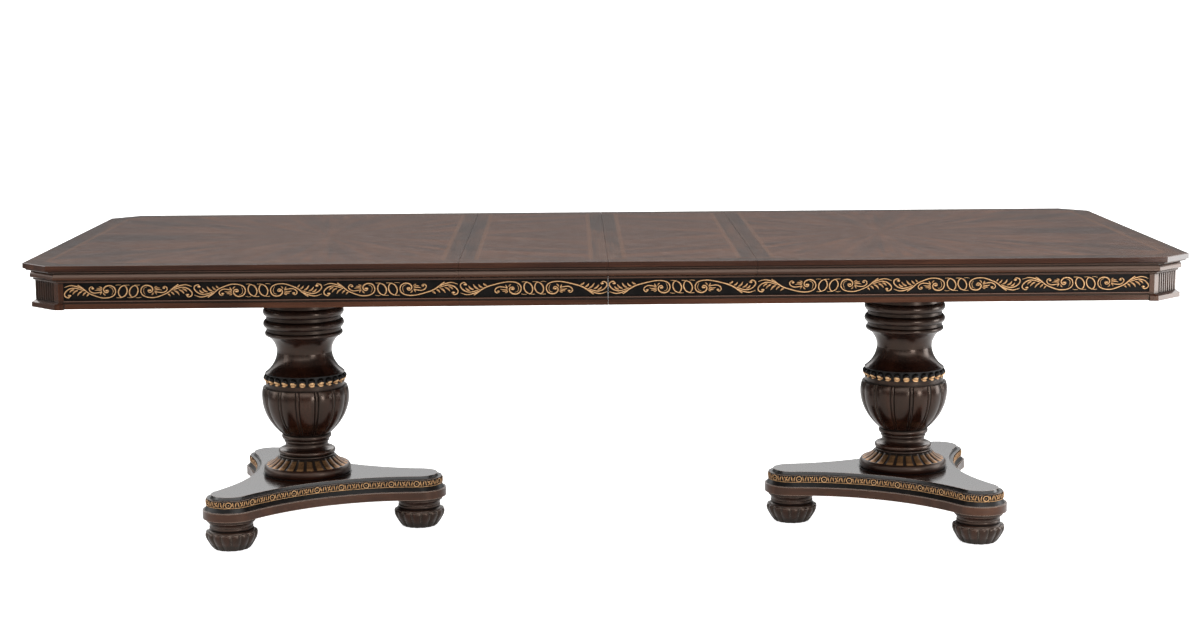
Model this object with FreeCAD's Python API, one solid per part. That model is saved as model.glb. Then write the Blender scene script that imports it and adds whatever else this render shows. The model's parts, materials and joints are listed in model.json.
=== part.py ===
import FreeCAD, Part
import math
import os

# Double pedestal extension table with two leaves, in millimetres.
# The origin is on the floor under the middle of the top, X runs along the length,
# the front is towards -Y and Z is up.

# Table top
TABLE_HEIGHT = 775.0
TABLE_WIDTH = 1172.0
HALF_LENGTH = 1047.0
LEAF_LENGTH = 355.0
CANT_LEG = 71.0
PANEL_THICKNESS = 13.0
PANEL_EDGE_RADIUS = 1.5
SEAM_GAP = 0.6

# Cornice under the panel, insets measured in from the panel's edge, and the overrun of its mitre cuts
BEAD_HEIGHT = 5.0
BEAD_INSET = 7.5
BEAD_SWELL = 2.0
QUIRK_HEIGHT = 2.5
QUIRK_INSET = 16.5
THUMB_HEIGHT = 14.5
THUMB_INSET = 13.0
THUMB_SWELL = 0.9
NOSE_HEIGHT = 2.5
NOSE_SWELL = 0.8
ASTRAGAL_HEIGHT = 5.5
ASTRAGAL_INSET = 20.5
ASTRAGAL_SWELL = 1.0
MITRE_OVERRUN = 1.0

# Aprons and the band along their lower edge
APRON_HEIGHT = 63.5
APRON_INSET = 27.0
APRON_THICKNESS = 22.0
BAND_HEIGHT = 13.0
BAND_INSET = 19.0
BAND_QUIRK_HEIGHT = 3.0
BAND_QUIRK_INSET = 23.0
BAND_BEAD_HEIGHT = 4.0
BAND_BEAD_SWELL = 2.0

# Fluted blocks behind the canted corners
BLOCK_INSET = 23.5
STILE_WIDTH = 12.0
BLOCK_BASE_INSET = 15.0
BLOCK_BASE_HEIGHT = 12.0
BLOCK_BASE_DROP = 1.5
BLOCK_SPLAY_HEIGHT = 4.5
FLUTE_COUNT = 8
FLUTE_FRONT_MARGIN = 17.0
FLUTE_END_MARGIN = 4.0
FLUTE_WIDTH = 6.0
FLUTE_DEPTH = 2.6

# Extension slides, two sets of three members with dovetailed tongues
SLIDE_WIDTH = 28.0
SLIDE_HEIGHT = 54.0
SLIDE_GAP = 1.0
SLIDE_INNER_Y = 212.0
SLIDE_OUTER_X = 1000.0
SLIDE_REACH = 100.0
CENTRE_SLIDE_LENGTH = 1000.0
CENTRE_SLIDE_DROP = 1.0
TONGUE_DEPTH = 8.0
TONGUE_ROOT = 14.0
TONGUE_TIP = 20.0
TONGUE_CLEARANCE = 0.4

# Pins that line up the panels at the seams
PIN_RADIUS = 3.0
PIN_LENGTH = 40.0
PIN_PROJECTION = 14.0
PIN_DROP = 8.0
PIN_FIT = 0.05
PIN_SLOT_CLEARANCE = 0.4
PIN_ROWS_Y = (150.0, 450.0)

# Pedestal mounting under the top
PEDESTAL_X = 797.0
PLATE_SIZE = 380.0
PLATE_THICKNESS = 22.0
PLATE_CORNER = 40.0
CLEAT_DROP = 3.0
CLEAT_WIDTH = 40.0
CLEAT_SPREAD = 280.0
CLEAT_SLIDE_CLEARANCE = 17.0

# Tie rod down the pedestal
ROD_RADIUS = 6.0
ROD_CLEARANCE = 1.0
ROD_END = 4.0
NUT_ACROSS_CORNERS = 22.0
NUT_HEIGHT = 10.0
NUT_SIDES = 6
NUT_FIT = 0.05
WASHER_RADIUS = 18.0
WASHER_THICKNESS = 2.5
RECESS_RADIUS = 24.0
SPIGOT_RADIUS = 30.0
SPIGOT_HEIGHT = 10.0
SPIGOT_CLEARANCE = 0.3

# Feet, three to a pedestal, and the small turn of each pedestal on its rod, in degrees;
# sections are shares of a curve's height
FOOT_CIRCLE_RADIUS = 299.0
FOOT_COUNT = 3
LEFT_PEDESTAL_TURN = -4.2
RIGHT_PEDESTAL_TURN = 1.8
GLIDE_HEIGHT = 2.0
GLIDE_RADIUS = 18.0
GLIDE_PIN_RADIUS = 3.0
GLIDE_PIN_LENGTH = 14.0
BUN_FOOT_RADIUS = 46.0
BUN_RADIUS = 67.3
BUN_CREST_RADIUS = 65.0
BUN_BELLY_HEIGHT = 37.0
BUN_CREST_HEIGHT = 8.0
BUN_FULLNESS = 1.5
BUN_LOBES = 16
BUN_LOBE_DEPTH = 3.6
BUN_SECTIONS = (0.0, 0.35, 0.7, 1.0)
SHOULDER_RADIUS = 60.0
SHOULDER_HEIGHT = 6.0
SHOULDER_SWELL = 1.5
FOOT_NECK_RADIUS = 53.0
FOOT_BEAD_HEIGHT = 10.0
FOOT_BEAD_SWELL = 3.0
FOOT_FLARE_FOOT_RADIUS = 55.0
FOOT_FLARE_RADIUS = 62.0
FOOT_FLARE_HEIGHT = 11.0
FOOT_FLARE_SAG = 1.5
FOOT_CAP_HEIGHT = 9.0
TENON_RADIUS = 20.0
TENON_COVER = 4.0
TENON_CLEARANCE = 0.3

# Three-lobed plinth, outlines offset outwards from the top face of its cap
PLINTH_LOBE_RADIUS = 50.0
PLINTH_SIDE_RADIUS = 510.0
PLINTH_BASE_HEIGHT = 21.5
PLINTH_BASE_OFFSET = 22.0
PLINTH_STEP_HEIGHT = 12.0
PLINTH_STEP_OFFSET = 18.0
PLINTH_BAND_HEIGHT = 19.0
PLINTH_BAND_OFFSET = 11.0
PLINTH_CAP_HEIGHT = 8.0
PLINTH_CAP_OFFSET = 3.0

# Base disc and petalled collar of the column
DISC_RADIUS = 115.5
DISC_CORE_RADIUS = 110.0
DISC_HEIGHT = 24.0
COLLAR_FOOT_RADIUS = 108.0
COLLAR_HEAD_RADIUS = 76.0
COLLAR_HEIGHT = 22.5
COLLAR_FLARE = 1.6
PETAL_COUNT = 24
PETAL_DEPTH = 4.0
COLLAR_SECTIONS = (0.0, 0.4, 1.0)

# Turned stem under the urn, with the fillets that set off its torus and its ring
TORUS_FILLET_CORE_RADIUS = 71.0
TORUS_FILLET_HEIGHT = 6.0
TORUS_CORE_RADIUS = 69.0
TORUS_HEIGHT = 15.0
TORUS_SWELL = 6.5
STEM_WAIST_RADIUS = 56.5
STEM_WAIST_HEIGHT = 9.0
STEM_WAIST_SAG = 2.5
STEM_FLARE_RADIUS = 57.5
STEM_FLARE_HEIGHT = 8.0
STEM_FLARE_SAG = 0.8
STEM_FILLET_CORE_RADIUS = 57.5
STEM_FILLET_HEIGHT = 8.0
STEM_RING_CORE_RADIUS = 60.0
STEM_RING_HEIGHT = 15.0
STEM_RING_SWELL = 5.5
FILLET_SWELL = 2.0

# Reeded urn: broad reeds with narrow ribs between them
URN_FOOT_RADIUS = 64.0
URN_RADIUS = 116.0
URN_HEAD_RADIUS = 112.0
URN_BELLY_HEIGHT = 110.0
URN_SHOULDER_HEIGHT = 16.0
URN_FULLNESS = 2.4
URN_NECK_RADIUS = 104.0
URN_NECK_HEIGHT = 13.0
REED_COUNT = 14
REED_WIDTH = 38.0
RIB_WIDTH = 9.0
REED_DEPTH = 4.5
REED_EDGE = 1.6
URN_SECTIONS = (0.0, 0.12, 0.3, 0.6, 1.0)

# Bead ring
BEAD_RING_RADIUS = 100.5
BEAD_RING_HEIGHT = 26.0
BEAD_LIP_RADIUS = 104.5
BEAD_LIP_HEIGHT = 3.0
BEAD_RADIUS = 9.5
BEAD_COUNT = 26

# Vase neck and ringed capital
VASE_FOOT_RADIUS = 105.0
VASE_WAIST_RADIUS = 72.5
VASE_WAIST_HEIGHT = 54.0
VASE_WAIST_SAG = 7.0
VASE_HEAD_RADIUS = 96.0
VASE_HEAD_HEIGHT = 45.0
VASE_HEAD_SAG = 6.5
CAPITAL_GROOVE_RADIUS = 98.5
CAPITAL_GROOVE_HEIGHT = 8.0
CAPITAL_LIP_HEIGHT = 13.0
CAPITAL_LIP_SWELL = 4.0
CAPITAL_LOWER_RING_HEIGHT = 23.0
CAPITAL_UPPER_RING_HEIGHT = 25.0
CAPITAL_RING_SWELL = 8.0
SHANK_RADIUS = 96.0
SHANK_HEIGHT = 83.0

# Levels of the top and the plinth that follow from the sizes above
panel_bottom = TABLE_HEIGHT - PANEL_THICKNESS
cornice_bottom = panel_bottom - BEAD_HEIGHT - QUIRK_HEIGHT - THUMB_HEIGHT - NOSE_HEIGHT - ASTRAGAL_HEIGHT
apron_bottom = cornice_bottom - APRON_HEIGHT
band_top = apron_bottom + BAND_HEIGHT + BAND_QUIRK_HEIGHT + BAND_BEAD_HEIGHT
slide_bottom = panel_bottom - SLIDE_HEIGHT
tongue_level = panel_bottom - SLIDE_HEIGHT / 2
plate_top = slide_bottom - CLEAT_DROP
plate_bottom = plate_top - PLATE_THICKNESS
crest_level = GLIDE_HEIGHT + BUN_BELLY_HEIGHT + BUN_CREST_HEIGHT
foot_bead_bottom = crest_level + SHOULDER_HEIGHT
plinth_bottom = foot_bead_bottom + FOOT_BEAD_HEIGHT + FOOT_FLARE_HEIGHT + FOOT_CAP_HEIGHT
band_bottom = plinth_bottom + PLINTH_BASE_HEIGHT
cap_bottom = band_bottom + PLINTH_STEP_HEIGHT + PLINTH_BAND_HEIGHT
plinth_top = cap_bottom + PLINTH_CAP_HEIGHT
tenon_top = band_bottom - TENON_COVER
recess_top = plinth_bottom + ROD_END + NUT_HEIGHT + WASHER_THICKNESS

# Levels of the column, whose tall curves stretch to reach from the plinth to the top plate
collar_height = DISC_HEIGHT + COLLAR_HEIGHT
stem_height = (TORUS_FILLET_HEIGHT + TORUS_HEIGHT + STEM_WAIST_HEIGHT + STEM_FLARE_HEIGHT
               + STEM_FILLET_HEIGHT + STEM_RING_HEIGHT)
urn_shoulder_height = URN_SHOULDER_HEIGHT + URN_NECK_HEIGHT
capital_rings = [(CAPITAL_LIP_HEIGHT, CAPITAL_LIP_SWELL), (CAPITAL_LOWER_RING_HEIGHT, CAPITAL_RING_SWELL),
                 (CAPITAL_UPPER_RING_HEIGHT, CAPITAL_RING_SWELL)]
capital_height = sum(height + CAPITAL_GROOVE_HEIGHT for height, ring_swell in capital_rings)
mouldings_height = collar_height + stem_height + urn_shoulder_height + BEAD_RING_HEIGHT + capital_height
curves_height = URN_BELLY_HEIGHT + VASE_WAIST_HEIGHT + VASE_HEAD_HEIGHT + SHANK_HEIGHT
stretch = (plate_bottom - plinth_top - mouldings_height) / curves_height
collar_top = plinth_top + collar_height
stem_top = collar_top + stem_height
urn_belly = stem_top + URN_BELLY_HEIGHT * stretch
urn_top = urn_belly + urn_shoulder_height
bead_ring_top = urn_top + BEAD_RING_HEIGHT
vase_waist = bead_ring_top + VASE_WAIST_HEIGHT * stretch
vase_top = vase_waist + VASE_HEAD_HEIGHT * stretch

# Places in plan that follow from the sizes above, on the right-hand half
end_x = LEAF_LENGTH + HALF_LENGTH
seam_x = LEAF_LENGTH + SEAM_GAP / 2
front_y = -TABLE_WIDTH / 2
apron_inner = APRON_INSET + APRON_THICKNESS
block_side_x = end_x - CANT_LEG - BLOCK_INSET - STILE_WIDTH
block_side_y = front_y + CANT_LEG + BLOCK_INSET + STILE_WIDTH
centre_slide_y = SLIDE_INNER_Y + SLIDE_WIDTH + SLIDE_GAP + SLIDE_WIDTH / 2
pin_level = TABLE_HEIGHT - PIN_DROP
rod_bore = ROD_RADIUS + ROD_CLEARANCE

UP = FreeCAD.Vector(0, 0, 1)
ORIGIN = FreeCAD.Vector(0, 0, 0)
ALONG_X = FreeCAD.Vector(1, 0, 0)
ALONG_Y = FreeCAD.Vector(0, 1, 0)


def profile(steps, place):
    """Closed face from (a, z) line ends and (a, z, bulge) arc ends, bulging right of the way."""
    edges = []
    a0, z0 = steps[0]
    for step in steps[1:] + steps[:1]:
        a1, z1 = step[0], step[1]
        length = math.hypot(a1 - a0, z1 - z0)
        if len(step) == 3:
            middle_a = (a0 + a1) / 2 + step[2] * (z1 - z0) / length
            middle_z = (z0 + z1) / 2 - step[2] * (a1 - a0) / length
            arc = Part.Arc(place(a0, z0), place(middle_a, middle_z), place(a1, z1))
            edges.append(arc.toShape())
        else:
            edges.append(Part.LineSegment(place(a0, z0), place(a1, z1)).toShape())
        a0, z0 = a1, z1
    return Part.Face(Part.Wire(edges))


def revolved(steps):
    """Solid of revolution about Z from a profile in radius and height."""
    face = profile(steps, lambda radius, z: FreeCAD.Vector(radius, 0, z))
    return face.revolve(ORIGIN, UP, 360)


def prism(points, bottom, top):
    """Upright prism on a plan polygon."""
    corners = [FreeCAD.Vector(x, y, bottom) for x, y in points]
    face = Part.Face(Part.makePolygon(corners + corners[:1]))
    return face.extrude(UP * (top - bottom))


def disc(radius, bottom, top, x=0.0, y=0.0):
    """Upright cylinder."""
    return Part.makeCylinder(radius, top - bottom, FreeCAD.Vector(x, y, bottom))


def turned(bottom, top, outside, spigot=True, socket=True):
    """Turned piece with a rod bore, registered by a spigot below and a socket above."""
    lower = [(rod_bore, bottom)]
    upper = [(rod_bore, top)]
    if spigot:
        spigot_radius = SPIGOT_RADIUS - SPIGOT_CLEARANCE
        spigot_bottom = bottom - SPIGOT_HEIGHT
        lower = [(rod_bore, spigot_bottom), (spigot_radius, spigot_bottom), (spigot_radius, bottom)]
    if socket:
        socket_bottom = top - SPIGOT_HEIGHT - SPIGOT_CLEARANCE
        upper = [(SPIGOT_RADIUS, top), (SPIGOT_RADIUS, socket_bottom), (rod_bore, socket_bottom)]
    return revolved(lower + outside + upper)


def polar(radius, angle, z):
    """Point at a radius and angle about Z."""
    return FreeCAD.Vector(radius * math.cos(angle), radius * math.sin(angle), z)


def lobed_wire(z, radius, depth, count):
    """Scalloped outline of equal arcs with valleys of one depth."""
    turn = 2 * math.pi / count
    edges = []
    for k in range(count):
        start = (k - 0.5) * turn
        points = [polar(radius - depth, start, z), polar(radius, start + turn / 2, z),
                  polar(radius - depth, start + turn, z)]
        edges.append(Part.Arc(*points).toShape())
    return Part.Wire(edges)


def reeded_wire(z, radius):
    """Urn outline of broad reeds with a narrow rib in the groove between each two."""
    size = radius / URN_RADIUS
    turn = 2 * math.pi / REED_COUNT
    reed = REED_WIDTH / URN_RADIUS
    rib = RIB_WIDTH / URN_RADIUS
    edge = radius - REED_EDGE * size
    groove = radius - REED_DEPTH * size
    edges = []
    for k in range(REED_COUNT):
        middle = k * turn
        rib_middle = middle + turn / 2
        reed_end = polar(edge, middle + reed / 2, z)
        rib_start = polar(groove, rib_middle - rib / 2, z)
        rib_end = polar(groove, rib_middle + rib / 2, z)
        reed_start = polar(edge, middle - reed / 2, z)
        edges.append(Part.Arc(reed_start, polar(radius, middle, z), reed_end).toShape())
        edges.append(Part.LineSegment(reed_end, rib_start).toShape())
        edges.append(Part.Arc(rib_start, polar(edge, rib_middle, z), rib_end).toShape())
        edges.append(Part.LineSegment(rib_end, polar(edge, middle + turn - reed / 2, z)).toShape())
    return Part.Wire(edges)


def swell(start, end, fullness, share):
    """Size between start and end on a curve that rises quickly and then levels off."""
    return start + (end - start) * (1 - (1 - share) ** fullness)


def mirrored_y(shape):
    """Front piece turned into its back counterpart."""
    return shape.mirror(ORIGIN, ALONG_Y)


def mirrored_x(shape):
    """Right-hand piece turned into its left-hand counterpart."""
    return shape.mirror(ORIGIN, ALONG_X)


def front_and_back(shape):
    """Front piece and its back counterpart as two solids of one group."""
    return Part.makeCompound([shape, mirrored_y(shape)])


# Top

def top_outline(inset):
    """Plan corners of a half at an inset from the panel's edge, seam side last."""
    x = end_x - inset
    y = front_y + inset
    return [(seam_x, y), (x - CANT_LEG, y), (x, y + CANT_LEG), (x, -y - CANT_LEG),
            (x - CANT_LEG, -y), (seam_x, -y)]


def rounded_top(panel, seam_planes):
    """Panel with its upper outer edges rounded and its seam edges left square."""
    edges = []
    for edge in panel.Edges:
        box = edge.BoundBox
        on_top = box.ZMin > TABLE_HEIGHT - PANEL_EDGE_RADIUS
        on_seam = any(abs(box.XMin - x) + abs(box.XMax - x) < SEAM_GAP for x in seam_planes)
        if on_top and not on_seam:
            edges.append(edge)
    return panel.makeFillet(PANEL_EDGE_RADIUS, edges)


def pin_rows():
    """Distances of the pins from the centre line, front to back."""
    return [-y for y in reversed(PIN_ROWS_Y)] + list(PIN_ROWS_Y)


def pins(edge_x, direction):
    """Row of pins standing out of a panel edge, +1 towards +X and -1 towards -X."""
    start = edge_x - direction * (PIN_LENGTH - PIN_PROJECTION)
    return [Part.makeCylinder(PIN_RADIUS, PIN_LENGTH, FreeCAD.Vector(start, y, pin_level),
                              ALONG_X * direction) for y in pin_rows()]


def pin_holes(edge_x, direction):
    """Blind holes that hold the pins in a panel edge."""
    start = edge_x - direction * (PIN_LENGTH - PIN_PROJECTION)
    return [Part.makeCylinder(PIN_RADIUS + PIN_FIT, PIN_LENGTH, FreeCAD.Vector(start, y, pin_level),
                              ALONG_X * direction) for y in pin_rows()]


def pin_slots(edge_x, direction):
    """Slots open at the underside, so that a leaf drops over its neighbour's pins."""
    depth = PIN_PROJECTION + PIN_SLOT_CLEARANCE
    half = PIN_RADIUS + PIN_SLOT_CLEARANCE
    left = edge_x - depth if direction > 0 else edge_x
    return [Part.makeBox(depth, 2 * half, pin_level + half - panel_bottom,
                         FreeCAD.Vector(left, y - half, panel_bottom)) for y in pin_rows()]


def cornice_profile(widening):
    """Bead, quirk, thumb moulding and astragal under the panel, as (inset, z) steps."""
    bead_bottom = panel_bottom - BEAD_HEIGHT
    thumb_top = bead_bottom - QUIRK_HEIGHT
    thumb_bottom = thumb_top - THUMB_HEIGHT
    nose_bottom = thumb_bottom - NOSE_HEIGHT
    steps = [(apron_inner, panel_bottom), (BEAD_INSET, panel_bottom),
             (BEAD_INSET, bead_bottom, BEAD_SWELL), (QUIRK_INSET, bead_bottom),
             (QUIRK_INSET, thumb_top), (THUMB_INSET, thumb_bottom, THUMB_SWELL),
             (ASTRAGAL_INSET, nose_bottom, NOSE_SWELL),
             (ASTRAGAL_INSET, cornice_bottom, ASTRAGAL_SWELL), (apron_inner, cornice_bottom)]
    return [(step[0] * widening, step[1]) + tuple(bulge * widening for bulge in step[2:]) for step in steps]


def moulding(steps, start, along, inward, plan):
    """Moulding run with (inset, z) steps, clipped to its plan polygon so that its ends are mitred."""
    face = profile(steps, lambda inset, z: start + inward * inset + UP * z)
    run = face.extrude(along)
    levels = [step[1] for step in steps]
    return run.common(prism(plan, min(levels) - MITRE_OVERRUN, max(levels) + MITRE_OVERRUN))


def cornice_pieces():
    """Front, front cant, end, back cant and back mouldings of a half, meeting in mitres."""
    outer = top_outline(0)
    inner = top_outline(apron_inner)
    plans = [[outer[k], outer[k + 1], inner[k + 1], inner[k]] for k in range(3)]
    front = moulding(cornice_profile(1), FreeCAD.Vector(seam_x, front_y, 0), ALONG_X * HALF_LENGTH,
                     ALONG_Y, plans[0])
    cant_start = FreeCAD.Vector(outer[1][0], outer[1][1], 0)
    cant_inward = FreeCAD.Vector(-1, 1, 0) / math.sqrt(2)
    cant = moulding(cornice_profile(math.sqrt(2)), cant_start, FreeCAD.Vector(CANT_LEG, CANT_LEG, 0),
                    cant_inward, plans[1])
    end = moulding(cornice_profile(1), FreeCAD.Vector(end_x, front_y, 0), ALONG_Y * TABLE_WIDTH,
                   ALONG_X * -1, plans[2])
    return Part.makeCompound([front, cant, end, mirrored_y(cant), mirrored_y(front)])


def band_steps():
    """Flat band with a quirk and a bead above it, as (inset, z) steps on the apron's face."""
    quirk_bottom = apron_bottom + BAND_HEIGHT
    bead_bottom = quirk_bottom + BAND_QUIRK_HEIGHT
    return [(APRON_INSET, apron_bottom), (APRON_INSET, band_top), (BAND_QUIRK_INSET, band_top),
            (BAND_QUIRK_INSET, bead_bottom, BAND_BEAD_SWELL), (BAND_QUIRK_INSET, quirk_bottom),
            (BAND_INSET, quirk_bottom), (BAND_INSET, apron_bottom)]


def front_band(left, right):
    """Band along the front apron between two places on X."""
    face = profile(band_steps(), lambda inset, z: FreeCAD.Vector(left, front_y + inset, z))
    return face.extrude(ALONG_X * (right - left))


def end_band():
    """Band along the end apron, between the corner blocks."""
    face = profile(band_steps(), lambda inset, z: FreeCAD.Vector(end_x - inset, block_side_y, z))
    return face.extrude(ALONG_Y * (-2 * block_side_y))


def front_apron(left, right):
    """Apron board along the front between two places on X."""
    return Part.makeBox(right - left, APRON_THICKNESS, APRON_HEIGHT,
                        FreeCAD.Vector(left, front_y + APRON_INSET, apron_bottom))


def end_apron():
    """Apron board along the end, between the corner blocks."""
    return Part.makeBox(APRON_THICKNESS, -2 * block_side_y, APRON_HEIGHT,
                        FreeCAD.Vector(end_x - apron_inner, block_side_y, apron_bottom))


def block_wire(inset, z):
    """Plan outline of a corner block at an inset, with its sides on the apron ends."""
    x = end_x - inset
    y = front_y + inset
    inner_x = end_x - apron_inner
    inner_y = front_y + apron_inner
    points = [(block_side_x, y), (x - CANT_LEG, y), (x, y + CANT_LEG), (x, block_side_y),
              (inner_x, block_side_y), (block_side_x, inner_y)]
    corners = [FreeCAD.Vector(px, py, z) for px, py in points]
    return Part.makePolygon(corners + corners[:1])


def flutes(bottom):
    """Flutes cut into the canted face of a corner block, from its base to the cornice."""
    radius = (FLUTE_WIDTH ** 2 / 4 + FLUTE_DEPTH ** 2) / (2 * FLUTE_DEPTH)
    inward = FreeCAD.Vector(-1, 1, 0) / math.sqrt(2)
    along = FreeCAD.Vector(1, 1, 0) / math.sqrt(2)
    length = CANT_LEG * math.sqrt(2)
    pitch = (length - FLUTE_FRONT_MARGIN - FLUTE_END_MARGIN) / FLUTE_COUNT
    start = FreeCAD.Vector(end_x - CANT_LEG - BLOCK_INSET, front_y + BLOCK_INSET, 0)
    cutters = []
    for k in range(FLUTE_COUNT):
        axis = start + along * (FLUTE_FRONT_MARGIN + (k + 0.5) * pitch) - inward * (radius - FLUTE_DEPTH)
        cutters.append(disc(radius, bottom, cornice_bottom, axis.x, axis.y))
    return cutters


def corner_block():
    """Front corner block: splayed base, plain stiles and a fluted canted face."""
    base_bottom = apron_bottom - BLOCK_BASE_DROP
    base_top = base_bottom + BLOCK_BASE_HEIGHT
    splay_top = base_top + BLOCK_SPLAY_HEIGHT
    base = Part.Face(block_wire(BLOCK_BASE_INSET, base_bottom)).extrude(UP * BLOCK_BASE_HEIGHT)
    splay = Part.makeLoft([block_wire(BLOCK_BASE_INSET, base_top), block_wire(BLOCK_INSET, splay_top)],
                          True, True)
    shaft = Part.Face(block_wire(BLOCK_INSET, splay_top)).extrude(UP * (cornice_bottom - splay_top))
    block = base.fuse([splay, shaft]).removeSplitter()
    return block.cut(flutes(splay_top))


def half_panel():
    """Panel of the right-hand half with canted corners and pin holes in its seam edge."""
    panel = rounded_top(prism(top_outline(0), panel_bottom, TABLE_HEIGHT), [seam_x])
    return panel.cut(pin_holes(seam_x, -1))


def leaf_panel(left, right, cutters):
    """Panel of a leaf, cut for pins or slots along both seams."""
    corners = [(left, front_y), (right, front_y), (right, -front_y), (left, -front_y)]
    panel = rounded_top(prism(corners, panel_bottom, TABLE_HEIGHT), [left, right])
    return panel.cut(cutters)


def leaf_cornice(left, right):
    """Straight cornice along the front of a leaf."""
    face = profile(cornice_profile(1), lambda inset, z: FreeCAD.Vector(left, front_y + inset, z))
    return face.extrude(ALONG_X * (right - left))


def half_pieces():
    """Pieces of the right-hand half of the top."""
    apron = front_apron(seam_x, block_side_x)
    band = front_band(seam_x, block_side_x)
    block = corner_block()
    return {
        "top_panel": half_panel(),
        "cornice": cornice_pieces(),
        "front_apron": apron,
        "back_apron": mirrored_y(apron),
        "end_apron": end_apron(),
        "front_corner_block": block,
        "back_corner_block": mirrored_y(block),
        "apron_bands": Part.makeCompound([band, end_band(), mirrored_y(band)]),
        "pedestal_cleats": cleats(),
        "pedestal_top_plate": top_plate(),
        "alignment_pins": Part.makeCompound(pins(seam_x, -1)),
    }


def leaf_pieces(left, right, cutters):
    """Pieces of one leaf between two places on X."""
    return {
        "panel": leaf_panel(left, right, cutters),
        "cornices": front_and_back(leaf_cornice(left, right)),
        "aprons": front_and_back(front_apron(left, right)),
        "bands": front_and_back(front_band(left, right)),
    }


# Extension slides

def tongue_height(reach, clearance):
    """Half height of the dovetail at a distance from the centre member's side."""
    taper = (TONGUE_TIP - TONGUE_ROOT) / (SLIDE_GAP + TONGUE_DEPTH)
    return (TONGUE_ROOT + taper * reach) / 2 + clearance


def tongue(start_reach, end_reach, clearance, direction):
    """Dovetail section on the centre member's side, as (y, z) corners."""
    side = centre_slide_y + direction * SLIDE_WIDTH / 2
    corners = []
    for reach, sign in ((start_reach, -1), (end_reach, -1), (end_reach, 1), (start_reach, 1)):
        height = tongue_height(reach, clearance)
        corners.append((side + direction * reach, tongue_level + sign * height))
    return corners


def bar(section, left, right):
    """Bar along X with a (y, z) section."""
    corners = [FreeCAD.Vector(left, y, z) for y, z in section]
    face = Part.Face(Part.makePolygon(corners + corners[:1]))
    return face.extrude(ALONG_X * (right - left))


def slide_members(inner_y, direction, left, right):
    """Grooved members of both sets, with the groove towards the centre member."""
    outer_y = inner_y + SLIDE_WIDTH
    section = [(inner_y, slide_bottom), (outer_y, slide_bottom), (outer_y, panel_bottom),
               (inner_y, panel_bottom)]
    reach = SLIDE_GAP + TONGUE_DEPTH + TONGUE_CLEARANCE
    groove = bar(tongue(0, reach, TONGUE_CLEARANCE, direction), left, right)
    return front_and_back(bar(section, left, right).cut(groove))


def centre_slides():
    """Tongued members that run between the grooved ones."""
    half = SLIDE_WIDTH / 2
    low = slide_bottom
    high = panel_bottom - CENTRE_SLIDE_DROP
    reach = SLIDE_GAP + TONGUE_DEPTH
    section = [(centre_slide_y - half, low), (centre_slide_y + half, low)]
    section += tongue(0, reach, 0, 1)
    section += [(centre_slide_y + half, high), (centre_slide_y - half, high)]
    section += reversed(tongue(0, reach, 0, -1))
    return front_and_back(bar(section, -CENTRE_SLIDE_LENGTH / 2, CENTRE_SLIDE_LENGTH / 2))


# Pedestal mounting

def cleats():
    """Two cleats across the pedestal, between the slides."""
    half = SLIDE_INNER_Y - CLEAT_SLIDE_CLEARANCE
    blocks = []
    for side in (-1, 1):
        corner = FreeCAD.Vector(PEDESTAL_X + side * CLEAT_SPREAD / 2 - CLEAT_WIDTH / 2, -half, plate_top)
        blocks.append(Part.makeBox(CLEAT_WIDTH, 2 * half, panel_bottom - plate_top, corner))
    return Part.makeCompound(blocks)


def top_plate():
    """Square board with clipped corners on the head of the column."""
    half = PLATE_SIZE / 2
    clip = half - PLATE_CORNER
    corners = [(clip, -half), (half, -clip), (half, clip), (clip, half),
               (-clip, half), (-half, clip), (-half, -clip), (-clip, -half)]
    plate = prism(corners, plate_bottom, plate_top).cut(disc(rod_bore, plate_bottom, plate_top))
    return plate.translated(ALONG_X * PEDESTAL_X)


# Pedestal, built on the Z axis with its inner foot towards +X

def column_neck():
    """Vase neck under three turned rings and a plain shank."""
    outside = [(VASE_FOOT_RADIUS, bead_ring_top), (VASE_WAIST_RADIUS, vase_waist, -VASE_WAIST_SAG),
               (VASE_HEAD_RADIUS, vase_top, -VASE_HEAD_SAG), (CAPITAL_GROOVE_RADIUS, vase_top)]
    z = vase_top
    for height, ring_swell in capital_rings:
        outside.append((CAPITAL_GROOVE_RADIUS, z + height, ring_swell))
        outside.append((CAPITAL_GROOVE_RADIUS, z + height + CAPITAL_GROOVE_HEIGHT))
        z += height + CAPITAL_GROOVE_HEIGHT
    outside += [(SHANK_RADIUS, z), (SHANK_RADIUS, plate_bottom)]
    return turned(bead_ring_top, plate_bottom, outside, socket=False)


def bead_ring():
    """Ring with a lip along each edge and a row of round beads between them."""
    lower_lip = urn_top + BEAD_LIP_HEIGHT
    upper_lip = bead_ring_top - BEAD_LIP_HEIGHT
    ring = turned(urn_top, bead_ring_top,
                  [(BEAD_LIP_RADIUS, urn_top), (BEAD_LIP_RADIUS, lower_lip), (BEAD_RING_RADIUS, lower_lip),
                   (BEAD_RING_RADIUS, upper_lip), (BEAD_LIP_RADIUS, upper_lip),
                   (BEAD_LIP_RADIUS, bead_ring_top)])
    middle = (urn_top + bead_ring_top) / 2
    beads = [Part.makeSphere(BEAD_RADIUS, polar(BEAD_RING_RADIUS, 2 * math.pi * k / BEAD_COUNT, middle))
             for k in range(BEAD_COUNT)]
    return ring.fuse(beads)


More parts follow.
